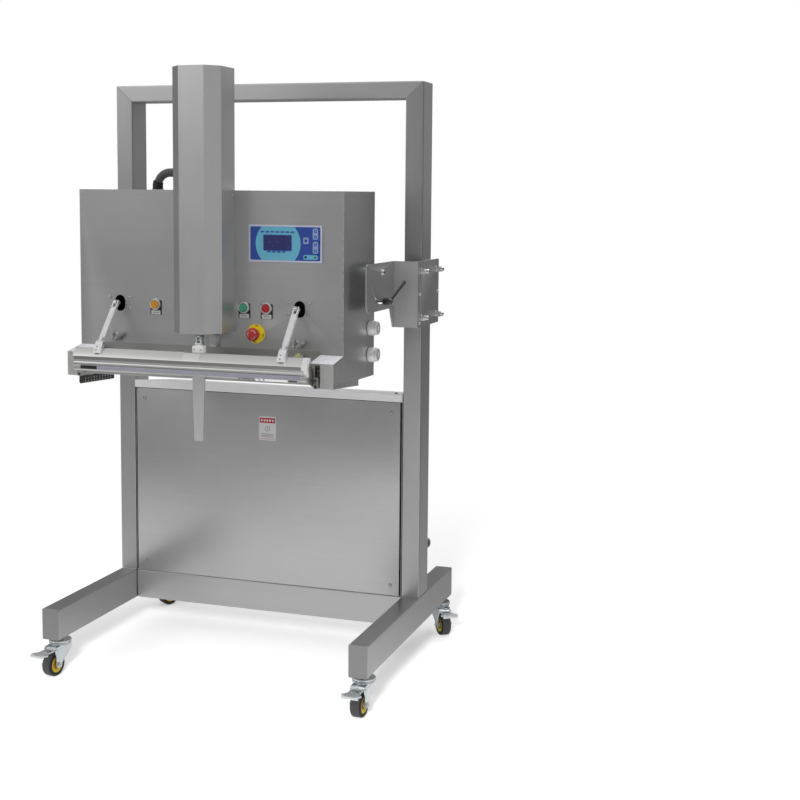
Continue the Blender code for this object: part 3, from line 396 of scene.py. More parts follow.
def facing(direction, place=(0, 0, 0)):
    """Stands a shape's Z along a direction, at a place."""
    turn = Vector(direction).to_track_quat("Z", "Y").to_matrix().to_4x4()
    return at(*place) @ turn


def along_x(y, z, x=0, side=1):
    """A shape's Z pointing to the right, or to the left where side is -1."""
    return facing((side, 0, 0), (x, y, z))


FRONT = Matrix(((1, 0, 0, 0), (0, 0, -1, 0), (0, 1, 0, 0), (0, 0, 0, 1)))


def on_front(x, y, z):
    """A shape drawn in x and y stands upright at a place, facing the front."""
    return at(x, y, z) @ FRONT


def patch(x, y, z, outline, depth, look, edge=0):
    """A thin outline standing upright, its depth towards the front."""
    return plate(outline, 0, depth, edge, 1), on_front(x, y, z), look


def spun(share):
    """Part of a full turn about Z."""
    return Matrix.Rotation(2 * pi * share, 4, "Z")


def across_x(side=1):
    """A shape drawn in y and z, with its thickness along x."""
    return Matrix(((0, 0, side, 0), (1, 0, 0, 0), (0, 1, 0, 0), (0, 0, 0, 1)))


def new_object(name, data):
    item = bpy.data.objects.new(name, data)
    bpy.context.scene.collection.objects.link(item)
    return item


def piece(name, body, shapes, replaces=(), base=MACHINE):
    """Joins (mesh, matrix, material) shapes into one object on a body."""
    work = bmesh.new()
    materials = []
    for mesh, matrix, material in shapes:
        if material not in materials:
            materials.append(material)
        part = mesh.copy()
        part.transform(matrix)
        if matrix.to_3x3().determinant() < 0:
            part.flip_normals()
        for polygon in part.polygons:
            polygon.material_index = materials.index(material)
        work.from_mesh(part)
        bpy.data.meshes.remove(part)
    joined = bpy.data.meshes.new(name)
    work.to_mesh(joined)
    work.free()
    for material in materials:
        joined.materials.append(material)
    joined.transform(base)
    item = new_object(name, joined)
    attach(item, body)
    if replaces:
        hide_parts(*replaces)
    return item


def modify(item, kind, **settings):
    modifier = item.modifiers.new(kind.lower(), kind)
    for key, value in settings.items():
        setattr(modifier, key, value)


def finish_node(name, material, edge=0.8, segments=2):
    """Gives a CAD node its material, welded vertices and softened edges."""
    item = NODES[name]
    for slot in item.material_slots:
        slot.material = material
    mesh = item.data
    if "custom_normal" in mesh.attributes:
        mesh.attributes.remove(mesh.attributes["custom_normal"])
    mesh.shade_smooth()
    modify(item, "WELD", merge_threshold=0.00002)
    if edge:
        modify(item, "DECIMATE", decimate_type="DISSOLVE", angle_limit=radians(0.5))
        modify(item, "BEVEL", width=edge * MM, segments=segments, limit_method="ANGLE", angle_limit=radians(25))
        modify(item, "WEIGHTED_NORMAL", weight=100, keep_sharp=True)
    else:
        modify(item, "EDGE_SPLIT", split_angle=radians(30))


def pan_screw(place, direction, radius):
    """A small domed screw head with a cross slot, drawn as dark bars on the dome: painted shade."""
    height = radius * 0.55
    head = lathe([(0, height), (radius * 0.5, height * 0.92), (radius * 0.85, height * 0.6), (radius, 0), (0, 0)], 24)
    bar = block((radius * 1.1, radius * 0.22, 0.4), 0.1, 1)
    top = facing(direction, place)
    lift = at(0, 0, height * 0.97)
    return [(head, top, CHROME), (bar, top @ lift, ZINC_DARK), (bar, top @ lift @ spun(0.25), ZINC_DARK)]


def dome_bolt(place, radius, height, direction=(0, -1, 0), look=CHROME):
    """A domed socket screw."""
    shell = lathe([
        (radius * 0.36, height * 0.55), (radius * 0.36, height), (radius * 0.62, height * 0.95),
        (radius * 0.88, height * 0.70), (radius, height * 0.35), (radius, 0), (0, 0), (0, height * 0.55),
    ][::-1], 32)
    return [(shell, facing(direction, place), look)]


# Stand.
def dress_stand():
    for name, side in SIDES:
        finish_node(name + "_post", STEEL_Z, 0.5, 1)
        finish_node(name + "_leg", STEEL_Y, 0.5, 1)
        weld = wire([(side * (488 + i), 0, 222.2) for i in range(61)], 0.9, 6)
        # The plate on the leg's front end is the darker steel copy: painted shade.
        cap = plate(pill(59, 99, 3), 0, 0.6, 0.2, 1)
        shapes = [(weld, HERE, ZINC), (cap, on_front(side * 518, -502, 172), STEEL_CAP_SHADED)]
        piece(name + "_front_weld", "stand", shapes)
    finish_node("top_beam", STEEL_X, 0.5, 1)
    finish_node("cross_beam", STEEL_X, 0.5, 1)


# Casters.
def dress_caster(corner):
    x = -518 if corner.endswith("left") else 518
    y = -448 if corner.startswith("front") else 351
    base = MACHINE @ at(x, y, 0) @ spun(HEADINGS[corner] / 360)
    stem = [
        (lathe([(0, 155), (4.2, 155), (5, 154), (5, 121.8), (0, 121.8)], 24), HERE, ZINC),
        (hexagon(17, 114, 121.6, 0.7), HERE, ZINC),
        (lathe([
            (5, 114), (9.2, 114), (10, 112.8), (10.6, 106.4), (12.5, 105.6), (21.5, 106), (28.5, 109.8),
            (31.5, 111.2), (34.2, 111), (35.7, 109.2), (36, 106.8), (35.4, 105), (5, 105),
        ], 64), HERE, ZINC),
        # A dark ring between the races: painted shade in the gap.
        (lathe([(5, 105), (33, 105), (33, 103.6), (5, 103.6)], 64), HERE, ZINC_DARK),
        (lathe([(5, 103.6), (35, 103.6), (35.8, 102.8), (35.5, 101.2), (5, 101)], 64), HERE, ZINC),
        (lathe([(5, 101.2), (5, 92.5), (4, 92), (0, 92), (0, 101.2)], 24), HERE, ZINC),
    ]
    piece(corner + "_stem_detail", "stand", stem, (corner + "_caster_stem",), base)
    crown = lathe([
        (6.2, 100.4), (32.6, 100.4), (34.6, 99.4), (35, 97.5), (34.4, 95.5), (31.5, 94.5), (24, 92.5),
        (20.5, 92.5), (6.2, 94.5),
    ], 64)
    cheek = [(24, 96), (-45, 95.5), (-50.5, 91), (-51.5, 84), (-49, 72)]
    cheek += arc((-35, 37.5), 10.5, 190, 350, 14)
    cheek += [(-21, 40), (-6, 52), (12, 64), (23.5, 74), (28.5, 85), (28.5, 93)]
    rib = [(14, 89), (-36, 87.5), (-40, 80), (-38.5, 56), (-30, 56), (4, 76)]
    fork = [(crown, HERE, ZINC), (block((42.4, 44, 4), 0.8), at(0, -17, 92.5), ZINC)]
    for side in (-1, 1):
        axle_end = along_x(-35, 37.5, side=side)
        cap = lathe([(0, 32), (3, 31.7), (3.8, 30.7), (3.8, 28.5), (0, 28.5)], 20)
        rivet = lathe([(0, 25.7), (3, 25.3), (4.2, 24.1), (4.2, 23.3), (0, 23.3)], 20)
        fork += [
            (plate(cheek, 21.1, 23.5, 0.6), across_x(side), ZINC),
            (plate(rib, 23.1, 24.2, 0.9), across_x(side), ZINC),
            (hexagon(13, 23.3, 29, 0.8), axle_end, ZINC),
            (cap, axle_end, ZINC),
            (rivet, along_x(-46, 86, side=side), ZINC),
        ]
    axle = lathe(both_ways([(0, 21.5), (4, 21.5)]), 20)
    fork.append((axle, along_x(-35, 37.5), ZINC))
    piece(corner + "_fork_detail", corner + "_swivel_body", fork, (corner + "_caster_fork",), base)
    dress_wheel(corner, base)
    reach = 68 if corner.startswith("front") else 60
    pedal = [(-19, 6), (19, 6), (19, -36)] + arc((24, 13.5 - reach), 8, 60, -80, 6) + [(20, -reach)]
    pedal += [(-x, y) for x, y in reversed(pedal[2:])]
    brake = [
        (plate(pedal, -1.3, 1.3, 0.6), at(0, -46, 85.8), PEDAL),
        (block((54, 2.2, 7.5), 0.8), at(0, -45.2 - reach, 82.6), PEDAL),
        (block((22, 26, 1.2), 0.5), at(0, -64, 87.6), ZINC),
    ]
    for x in (-21.5, 21.5):
        brake.append((block((10, 12, 1), 0.4), at(x, -33.5 - reach, 87.4), PEDAL))
    barrel = lathe(both_ways([(0, 18.8), (3.2, 18.4)]), 20)
    brake.append((barrel, along_x(-46, 86), ZINC))
    piece(corner + "_brake_detail", corner + "_brake_body", brake, (corner + "_caster_brake",), base)


def dress_wheel(corner, base):
    wheel = along_x(-35, 37.5)
    side = [(25.5, 15), (28, 17.2), (30, 17.8), (33.5, 17), (36.2, 15.2), (37.1, 13.6), (36.6, 13.2)]
    tyre = lathe(both_ways(side + [(36.6, 0)]), 96, 25)
    tread = lathe(both_ways([(36.6, 13.1), (37.2, 13.1), (37.5, 12.4), (37.5, 0.4), (37.1, 0)]), 96)
    shapes = [(tyre, wheel, TYRE), (tread, wheel, TREAD)]
    for turn in (wheel, wheel @ Matrix.Rotation(pi, 4, "X")):
        disc = lathe([
            (25.8, 13.8), (25, 16), (23, 16), (21.5, 13.2), (16.5, 12.8), (11, 12.4), (10.5, 11), (25.8, 11),
        ], 64)
        # The recessed web takes the darker orange copy of the yellow: painted shade.
        web = lathe([(16.6, 12.9), (15.8, 14.6), (12.6, 15), (11.2, 14), (10.8, 12), (16.6, 12)], 64)
        boss = lathe([(4.6, 12), (4.6, 19), (6.8, 19.5), (9, 18.6), (9.6, 16.8), (9.6, 12)][::-1], 48)
        shapes += [(disc, turn, HUB_YELLOW), (web, turn, HUB_SHADED), (boss, turn, ZINC)]
    piece(corner + "_wheel_detail", corner + "_wheel_body", shapes, (corner + "_caster_wheel",), base)


# Pump cabinet.
def dress_cabinet():
    finish_node("cabinet_shell", STEEL_X, 0.8)
    finish_node("cabinet_front_panel", STEEL_X, 0)
    finish_node("cabinet_rear_panel", STEEL_X, 0.5, 1)
    finish_node("cabinet_lid", STEEL_LID, 1.5)
    finish_node("vacuum_pump", STEEL_DARK, 2)
    # A thin black strip under the lid's lip: painted shadow in the gap.
    screws = [(block((960, 1, 1.6), 0.2, 1), at(0, -2, 867.5), BLACK)]
    for x in (-450, 450):
        for z in (258, 833):
            screws += pan_screw((x, -1.8, z), (0, -1, 0), 4.8)
            # A dark ring round each screw head: painted shade.
            screws.append((ring(6.4, 4.6, 0, 0.4, 32), on_front(x, -1.6, z), ZINC_DARK))
    piece("front_panel_screws", "stand", screws)
    screws = []
    for x in (-450, 0, 450):
        for z in (245, 530, 812):
            screws += pan_screw((x, 288.6, z), (0, 1, 0), 4.2)
    for z in (530, 630):
        for way in (1, -1):
            screws += pan_screw((way * 486.6, 277, z), (way, 0, 0), 4.5)
    for x, y in ((445, 60), (472, 90)):
        top = 893.9 - 0.1215 * y
        screws.append((hexagon(7.5, 0, 4.5, 0.6), facing((0, 0.12, 0.99), (x, y, top - 0.6)), BLACK_GLOSS))
    piece("cabinet_screws", "stand", screws)
    label = [
        patch(11, -1.6, 753.5, pill(62, 81, 2), 0.4, LABEL_WHITE, 0.1),
        patch(11, -2, 780.5, pill(56, 17, 1), 0.3, LABEL_RED),
        patch(11, -2, 717.5, pill(56, 0.8, 0.3), 0.3, LABEL_RED),
    ]
    for x in (-9, 1, 11, 21, 31):
        label.append(patch(x, -2.3, 780.5, pill(6, 7, 1), 0.2, LABEL_WHITE))
    label.append((ring(9.5, 7.8, 0, 0.3, 32), on_front(11, -2, 753), LABEL_GREY))
    label.append(patch(11, -2, 753, pill(2.2, 10, 1), 0.3, LABEL_GREY))
    for z in (734.5, 729.5, 724.5):
        label.append(patch(11, -2, z, pill(46, 1.6, 0.6), 0.3, LABEL_GREY))
    piece("cabinet_label", "stand", label)
    side_on = along_x(225, 350, 486.5)
    inlet = [
        (lathe([
            (0, 29), (4.5, 28.5), (6, 29.6), (11.5, 29.6), (12.8, 28.5), (13.3, 26.2), (13.3, 20.5),
            (14.8, 19.5), (14.8, 0.6), (0, 0.6),
        ], 48), side_on, BLACK_GLOSS),
        (ring(16.2, 13.2, 20.5, 26.2), side_on, CHROME),
        (ring(16, 12, 0.4, 3.5), side_on, TURNED),
    ]
    piece("power_inlet_detail", "stand", inlet, ("power_inlet",))


# Carriage.
def dress_carriage():
    for name, side in SIDES:
        finish_node(name + "_bracket", STEEL_DARK, 1.2, 3)
        clamp_x = side * 485
        clamp = [(block((5, 226, 200), 1), at(clamp_x, 52, 1225), STEEL_DARK)]
        for y in (-26, 136):
            for z in (1149, 1297):
                clamp += cap_nut(side, y, z)
                stud = lathe([(0, 556), (5.8, 556), (5.8, 488), (0, 488)], 24)
                clamp.append((stud, along_x(y, z, side=side), ZINC))
                clamp.append((hexagon(16, -482, -476.5), facing((-side, 0, 0), (0, y, z)), CHROME))
        piece(name + "_clamp_detail", "carriage", clamp, (name + "_clamp",))
        pin = [
            (lathe([(0, 477.5), (5.9, 477.5), (5.9, 423), (0, 423)], 32), along_x(-189, 1300, side=side), CHROME),
            (ring(12.9, 5.5, 439.3, 471.7), along_x(-189, 1300, side=side), ZINC),
            (ring(11.5, 5.5, 477.3, 478.7), along_x(-189, 1300, side=side), ZINC),
        ]
        pin += dome_bolt((side * 478.6, -189, 1300), 9.4, 7.8, (side, 0, 0))
        piece(name + "_pivot_detail", "carriage", pin, (name + "_pivot_pin",))
        grub = []
        for y, z in ((-50, 1224), (-50, 1132), (150, 1223)):
            grub += dome_bolt((side * 555.6, y, z), 4.6, 5, (side, 0, 0))
        piece(name + "_grub_screws", "carriage", grub)


def cap_nut(side, y, z):
    """A washer, a hexagon and a dome, as on an acorn nut."""
    face = along_x(y, z, side * 555.8, side)
    dome = [(0, 26.8), (3, 26.4), (5.6, 24.8), (7.4, 22.2), (8.2, 19), (8.2, 12), (0, 12)]
    return [
        (ring(11.8, 5.5, 0, 1.6), face, ZINC), (hexagon(17.5, 1.6, 12.5, 1), face, CHROME),
        (lathe(dome, 40), face, CHROME),
    ]


# Head.
def dress_head():
    finish_node("head_housing", STEEL_HEAD, 0.9)
    finish_node("head_back_cover", STEEL_HEAD, 0.3, 1)
    finish_node("heated_jaw", ALUMINIUM, 0.4, 1)
    finish_node("tower_cover", STEEL_TOWER, 0.8)
    finish_node("nozzle_cylinder", TURNED, 0.5, 1)
    for name, _ in SIDES:
        finish_node(name + "_bar_cylinder", BLACK, 0)
    screws = []
    for side in (-1, 1):
        for dx in (-34.5, 34.5):
            for z in (1183, 1215):
                screws += dome_bolt((side * 300 + dx, HEAD_Y, z), 5.2, 4.2)
    for z in (1534.6, 1333.6, 1140):
        screws += pan_screw((90.6, -437, z), (1, 0, 0), 3.4)
        screws += pan_screw((-68.1, -437, z), (-1, 0, 0), 3.4)
    piece("head_screws", "head", screws)
    screws = []
    for x in (-415, 0, 415):
        for z in (1010, 1269, 1528):
            screws += pan_screw((x, -151.4, z), (0, 1, 0), 4)
    piece("back_cover_screws", "head", screws)
    for name, side in SIDES:
        rim = ring_outline(19, 26.5, 17.6, 25.1)
        piece(name + "_oval_rim", "head", [(rim, on_front(side * 300, HEAD_Y + 0.4, 1198), ALUMINIUM)])
    tape = [(block((730, 0.3, 26), 0, 1), at(0, -506.16, 1020), GLASS_TAPE)]
    for z in (1036.8, 1003.5):
        tape.append((block((736, 1, 5), 0.3, 1), at(0, -506.6, z), TURNED))
    piece("jaw_heat_tape", "head", tape)
    dress_controls()
    dress_hose()


def stadium(half_width, half_height, steps=12):
    rise = half_height - half_width
    return arc((0, rise), half_width, 0, 180, steps) + arc((0, -rise), half_width, 180, 360, steps)


def ring_outline(outer_width, outer_height, inner_width, inner_height, depth=1.1):
    """A raised rim round an oval opening."""
    work = bmesh.new()
    outer, inner = stadium(outer_width, outer_height), stadium(inner_width, inner_height)
    sections = (outer, 0), (outer, depth), (inner, depth), (inner, -0.6)
    loops = [level(work, outline, height) for outline, height in sections]
    bridge(work, loops + loops[:1])
    return to_mesh(work)


def dress_controls():
    finish_node("control_panel", PANEL_WHITE, 0.6)
    y = HEAD_Y - 4.4

    def mark(right, down, outline, height, look):
        """Adds an outline to the panel, placed in millimetres from its top left corner."""
        shapes.append(patch(137.4 + right, y, 1447.5 - down, outline, height, look))

    shapes = []
    mark(117.55, 55.25, pill(233, 108.5, 6), 0.2, PANEL_WHITE)
    mark(117.55, 55.25, pill(224, 99.5, 4), 0.4, PANEL_BLUE)
    sides = arc((0, 0), 72, -43, 43, 24) + arc((0, 0), 72, 137, 223, 24)
    mark(95, 55.25, sides, 0.6, PANEL_SKY)
    mark(93.3, 53.25, pill(92, 48, 3), 0.8, PANEL_BLUE)
    mark(93.3, 53.25, pill(87.4, 43.5, 2), 1, SCREEN)
    for down, left, right in ((21, 37, 149), (80, 58, 121)):
        count = round((right - left) / 16)
        for i in range(count):
            step = (right - left) / count
            mark(left + step * (i + 0.5), down, pill(step - 4, 4.5, 1), 0.8, PANEL_BLUE)
    mark(184.2, 45.5, pill(17.1, 19, 3), 1.2, PANEL_KEY)
    mark(184.2, 45.5, arc((0, 0), 5, 0, 345, 23), 1.5, PANEL_BLUE)
    for down, height, icons in ((25.5, 33, (17.5, 34.5)), (65.5, 35, (57, 75))):
        mark(214.2, down, pill(16.5, height, 5), 1.2, PANEL_KEY)
        for icon in icons:
            mark(214.2, icon, pill(8.5, 8.5, 1.5), 1.4, PANEL_BLUE)
            mark(214.2, icon, pill(4, 4, 1), 1.6, PANEL_SKY)
    mark(199, 94.2, pill(46, 13.5, 5), 1.2, PANEL_SKY)
    mark(183.5, 94.2, arc((0, 0), 4, 0, 345, 23), 1.4, SCREEN)
    mark(214, 94.2, arc((0, 0), 3.5, 0, 345, 23), 1.4, OLIVE)
    piece("control_panel_face", "head", shapes)
    for name, x, look in (("yellow", -176, BUTTON_AMBER), ("green", 121, BUTTON_GREEN), ("red", 194, BUTTON_RED)):
        dress_button(name, x, look)
    dress_stop()
    for name, z in (("upper_knob", 1127.5), ("lower_knob", 1045)):
        dress_knob(name, z)


def dress_button(name, x, look):
    """A bezel and its legend plate on the head, and a cap on the moving button."""
    front = HEAD_Y - 0.2
    fixed = [
        (plate(pill(38, 45, 3), 0, 1.2, 0.4), on_front(x, front, 1187.8), BLACK),
        patch(x, front, 1172.5, pill(31, 12.5, 1), 1.6, LABEL_WHITE, 0.1),
        patch(x, front, 1172.5, pill(20, 2.2, 0.6), 1.8, LABEL_GREY),
        (lathe([
            (13, 1.2), (17.2, 1.2), (17.8, 2.2), (17.8, 6.5), (17.2, 8.5), (15.8, 9.8), (13.8, 9.8), (13, 8.8),
        ], 64), on_front(x, front, 1198), BEZEL),
    ]
    piece(name + "_bezel", "head", fixed)
    cap = lathe([
        (0, 12.4), (7, 12.7), (10, 13.4), (11.2, 13.4), (12, 12.8), (12.3, 11.2), (12.3, 6.6), (10.3, 6.2),
        (10.3, -17), (0, -17),
    ], 48)
    shapes = [(cap, on_front(x, HEAD_Y, 1198), look)]
    piece(name + "_cap", name + "_button_body", shapes, (name + "_button",))


def dress_stop():
    x, z = 159, 1120
    front = HEAD_Y - 0.3
    disc = lathe([(11.6, 2.4), (28.2, 2.4), (29, 1.6), (29, 0.2), (11.6, 0.2)], 72)
    collar = lathe([(11.7, 2.4), (15, 2.4), (15, 11), (14, 13.5), (11.7, 13.8)], 56)
    fixed = [(disc, on_front(x, front, z), STOP_YELLOW), (collar, on_front(x, front, z), CHROME)]
    for start in (70, 160, 250, 340):
        mark = arc((0, 0), 26.2, start, start + 24, 8) + arc((0, 0), 23.8, start + 24, start, 8)
        fixed.append((plate(mark, -0.1, 0.2, 0, 1), on_front(x, front - 2.4, z), BLACK))
    piece("stop_disc", "head", fixed, ("estop_base",))
    mushroom = lathe([
        (0, 33.8), (7, 33.6), (13, 32.6), (17.6, 30.5), (19.9, 27.5), (20.4, 24.5), (19.8, 22.2), (17.2, 20.8),
        (11.2, 20), (10.4, 19), (10.4, -19.5), (0, -19.5),
    ], 72, 25)
    shapes = [(mushroom, on_front(x, front, z), STOP_RED)]
    for start in (20, 140, 260):
        shapes.append((stop_arrow(start), on_front(x, front, z), LABEL_WHITE))
    piece("stop_mushroom", "estop_body", shapes, ("estop_button",))


def stop_arrow(start):
    """A curved white arrow that hugs the domed face."""
    work = bmesh.new()
    steps, sweep = 12, 78

    def dome(radius):
        return 33.9 - 1.2 * (radius / 13) ** 2 - 2.1 * max(0, (radius - 13) / 4.2)

    rows = []
    for i in range(steps + 1):
        angle = radians(start + sweep * i / steps)
        spread = 1 if i < steps - 3 else 2.4 * (steps - i) / 3
        row = []
        for radius in (12.8 - spread, 12.8 + spread):
            spot = Vector((radius * cos(angle), radius * sin(angle), dome(radius) + 0.2))
            row.append(work.verts.new(spot * MM))
        rows.append(row)
    for first, second in zip(rows, rows[1:]):
        work.faces.new((first[0], first[1], second[1], second[0]))
    bmesh.ops.remove_doubles(work, verts=work.verts, dist=0.00001)
    return to_mesh(work)


def dress_knob(name, z):
    profile = [
        (0, 28.8), (7, 28.8), (8, 30.8), (17.2, 31.2), (18.8, 30.6), (20.6, 29), (21.2, 24.8), (20.5, 23.6),
        (20.5, 20.8), (21.4, 19.6), (22.5, 18.8), (22.9, 17.6), (22.9, 2.2), (21.9, 1), (0, 1),
    ]
    along = along_x(-197, z, 439)
    shapes = [
        (lathe(profile, 72, 25), along, KNOB),
        (lathe([(0, 1), (3.9, 1), (3.9, -14.5), (0, -14.5)], 20), along, ZINC),
    ]
    for i in range(60):
        shapes.append((block((0.4, 0.9, 13), 0.1, 1), along @ spun(i / 60) @ at(22.8, 0, 9.5), KNOB))
    shapes.append((block((8, 1.6, 0.3), 0.1, 1), along @ spun(65 / 360) @ at(13, 0, 31.2), BLACK))
    # Dark rings on the knob's top face: painted shade in its grooves.
    for radius, wide in ((9.5, 1.2), (16.5, 0.8)):
        shapes.append((ring(radius, radius - wide, 30.8, 31.3), along, ZINC_DARK))
    piece(name + "_detail", name + "_body", shapes, (name,))


def dress_hose():
    """A corrugated hose held between the head and the tower, with a smooth cuff at its foot; its raised ribs are
    light grey as painted highlights.
    """
    start, bend = Vector((-259, -250, 1548.5)), 43
    end_x, top = -33, start.z + 54
    rise = arc((start.x + bend, top - bend), bend, 180, 90, 18)
    turn = arc((end_x - bend, start.y - bend), bend, 90, 0, 18)
    route = [start] + [Vector((x, start.y, z)) for x, z in rise] + [Vector((x, y, top)) for x, y in turn]
    route.append(Vector((end_x, HEAD_Y - 12, top)))
    points = even_points(route, 0.9)
    radii = []
    shapes = []
    for i in range(len(points)):
        cuff = i * 0.9 < 26
        radii.append(16.5 if cuff else 12.2)
        # Each raised rib is drawn light grey: a painted highlight.
        if not cuff and i % 6 == 0 and i + 3 < len(points):
            rib = sweep(points[i:i + 4], (12.2, 13.8, 13.8, 12.2), 28, 60)
            shapes.append((rib, HERE, HOSE_RIB_HIGHLIGHT))
    shapes.append((sweep(points, radii, 28, 60), HERE, BLACK))
    shapes.append((ring(19.5, 16, 0, 2.2), at(*start), BLACK_GLOSS))
    piece("hose_corrugated", "head", shapes, ("vacuum_hose",))


def even_points(route, step):
    """Points a fixed step apart along a polyline."""
    points, carry = [route[0].copy()], 0.0
    for first, second in zip(route, route[1:]):
        length = (second - first).length
        if length < 1e-9:
            continue
        distance = step - carry
        while distance <= length:
            points.append(first.lerp(second, distance / length))
            distance += step
        carry = length - (distance - step)
    return points


# Sealing drive.
def dress_bar():
    """The press bar in its hinge frame, which stands open at rest."""
    base = MACHINE @ at(0, -512, 985) @ Matrix.Rotation(OPEN_ANGLE, 4, "X")
    section = [
        (2.5, 20), (2.5, 88), (-3, 90.7), (-10.8, 94.4), (-12, 94.1), (-36.2, 78.4), (-37.2, 77.4),
        (-36.8, 76.7), (-34.7, 76), (-34.5, 75), (-35.9, 59.2), (-36.3, 58.3), (-38.3, 57), (-39.6, 55.2),
        (-39.8, 52.6), (-39.1, 51.1), (-37.8, 50.2), (-37.8, 49.8), (-41.6, 49.4), (-42.6, 48.2), (-46.1, 38.3),
        (-45.5, 36.8), (-40.4, 30.3),
    ]
    slim = [(min(y, -14.2), z) for y, z in section]
    shapes = []
    for low, high, outline in ((-378.5, -14, section), (-14, 41, slim), (41, 378.5, section)):
        shapes.append((plate(outline, low, high, 0), across_x(), ALUMINIUM))
    end = [(5, 2), (3.5, 88.5), (-10.8, 95.2), (-36.8, 79), (-37.6, 77.6), (-35.2, 76.5)]
    end += [(-36.2, 59), (-40, 56), (-40.2, 51.5), (-42.4, 49.6), (-46.4, 38.5), (-40.4, 29)]
    end += arc((0, 0), 5, 205, 355, 10)
    for side in (-1, 1):
        shapes.append((plate(end, 378.5, 380.4, 0.4), across_x(side), ALUMINIUM))
        pin = lathe([(0, 393.3), (2.6, 393.3), (3, 392.8), (3, 379), (0, 379)], 24)
        shapes.append((pin, along_x(0, 0, side=side), CHROME))
        shapes += lug_shapes(side)
        for y, z in ((-18, 80), (-30, 50)):
            shapes += dome_bolt((side * 380.2, y, z), 2.8, 1.6, (side, 0, 0))
    shapes += bar_trim()
    upper = [(-10, 93.5), (-10.4, 95.1), (-36.4, 79.6), (-38.4, 77.2), (-38.4, 66), (-30, 66)]
    lower = [(-30, 67), (-38.4, 67), (-39.8, 45), (-38, 44), (-30, 45)]
    shapes.append((plate(upper, 365, 383.8, 0.6), across_x(), ARM_WHITE))
    shapes.append((plate(lower, 372, 383.8, 0.6), across_x(), ARM_WHITE))
    piece("press_bar_detail", "press_bar_body", shapes, ("press_bar",), base)
    finish_node("seal_strip", SILICONE, 0.3, 1)


def bar_trim():
    """The groove bands, drawn dark as painted shade, the pale strip, and the small fittings on the bar's right third.
    """
    strips = (
        # The long groove band and the thin dark line below it are painted shade.
        (-378, 378, GROOVE, (-34, 75.8), (-35, 75.8), (-35.9, 65.2), (-35, 65.2)),
        (-378, 378, ZINC_DARK, (-37.6, 50.6), (-39.2, 50.4), (-40, 49.6), (-37.6, 49.4)),
        (-300, 360, LAVENDER, (-41.5, 49.2), (-42.6, 49.1), (-46.3, 39.2), (-44, 38.5)),
        (-356, -300, BLACK, (-41.5, 49.2), (-42.6, 49), (-46.3, 39.4), (-44, 38.7)),
        (165, 215, GROOVE, (-40, 37.5), (-46.2, 37.5), (-42.8, 29), (-39, 29)),
        (220, 320, TURNED, (-40, 37.5), (-46.2, 37.5), (-42.8, 29), (-39, 29)),
        (324, 350, BLACK, (-44.5, 36), (-46, 36), (-44.8, 32.5), (-43, 32.5)),
    )
    shapes = [(plate(outline, low, high, 0), across_x(), look) for low, high, look, *outline in strips]
    for x in (175, 205, 232, 246):
        shapes += dome_bolt((x, -44.8, 33.5), 3.2, 1.6, (0, -0.93, -0.37))
    return shapes


def lug_shapes(side):
    """Two ears with their pin, and the white plate that leans over them onto the bar's sloping top."""
    pin_y, pin_z, x = 1.4, 105.3, side * 300

    def place(down, out):
        """A point measured down the slope and out from it."""
        return -10.8 - 0.8388 * down - 0.5444 * out, 94.6 - 0.5444 * down + 0.8388 * out

    ear = [place(20.5, -0.8), place(20.5, 6.2), place(-14, 10)]
    ear += arc((pin_y, pin_z), 8.7, 115, -5, 12) + [(-3, 87)]
    plate_line = [place(-15.5, 10.4), place(21.5, 6.2), place(21.3, 4.4), place(-15.7, 8.8)]
    pin = lathe(both_ways([(0, 12.8), (4, 12.4), (4.6, 11.2), (4.6, 10.6), (3, 10.6)]), 28)
    toe = [place(2, -0.6), place(29, -0.6), place(29, 0.6), place(4, 5)]
    shapes = [
        (pin, along_x(pin_y, pin_z, x), CHROME),
        (plate(plate_line, x - 12, x + 12, 0.4), across_x(), ARM_WHITE),
        (plate(toe, x + 10.5, x + 15, 0.4), across_x(), ARM_WHITE),
    ]
    for low in (-10.4, 6.3):
        shapes.append((plate(ear, x + low, x + low + 4.1, 0.5), across_x(), ARM_WHITE))
    normal = (0, -0.5444 - 0.11, 0.8388 - 0.11)
    for down, out in ((1, 8.7), (12, 7.5)):
        y, z = place(down, out)
        # The plate's holes are dark discs: painted shade.
        hole = lathe([(0, 0.4), (2.2, 0.4), (2.6, -0.6), (0, -0.6)], 20)
        shapes.append((hole, facing(normal, (x - 3, y, z)), ZINC_DARK))
    return shapes


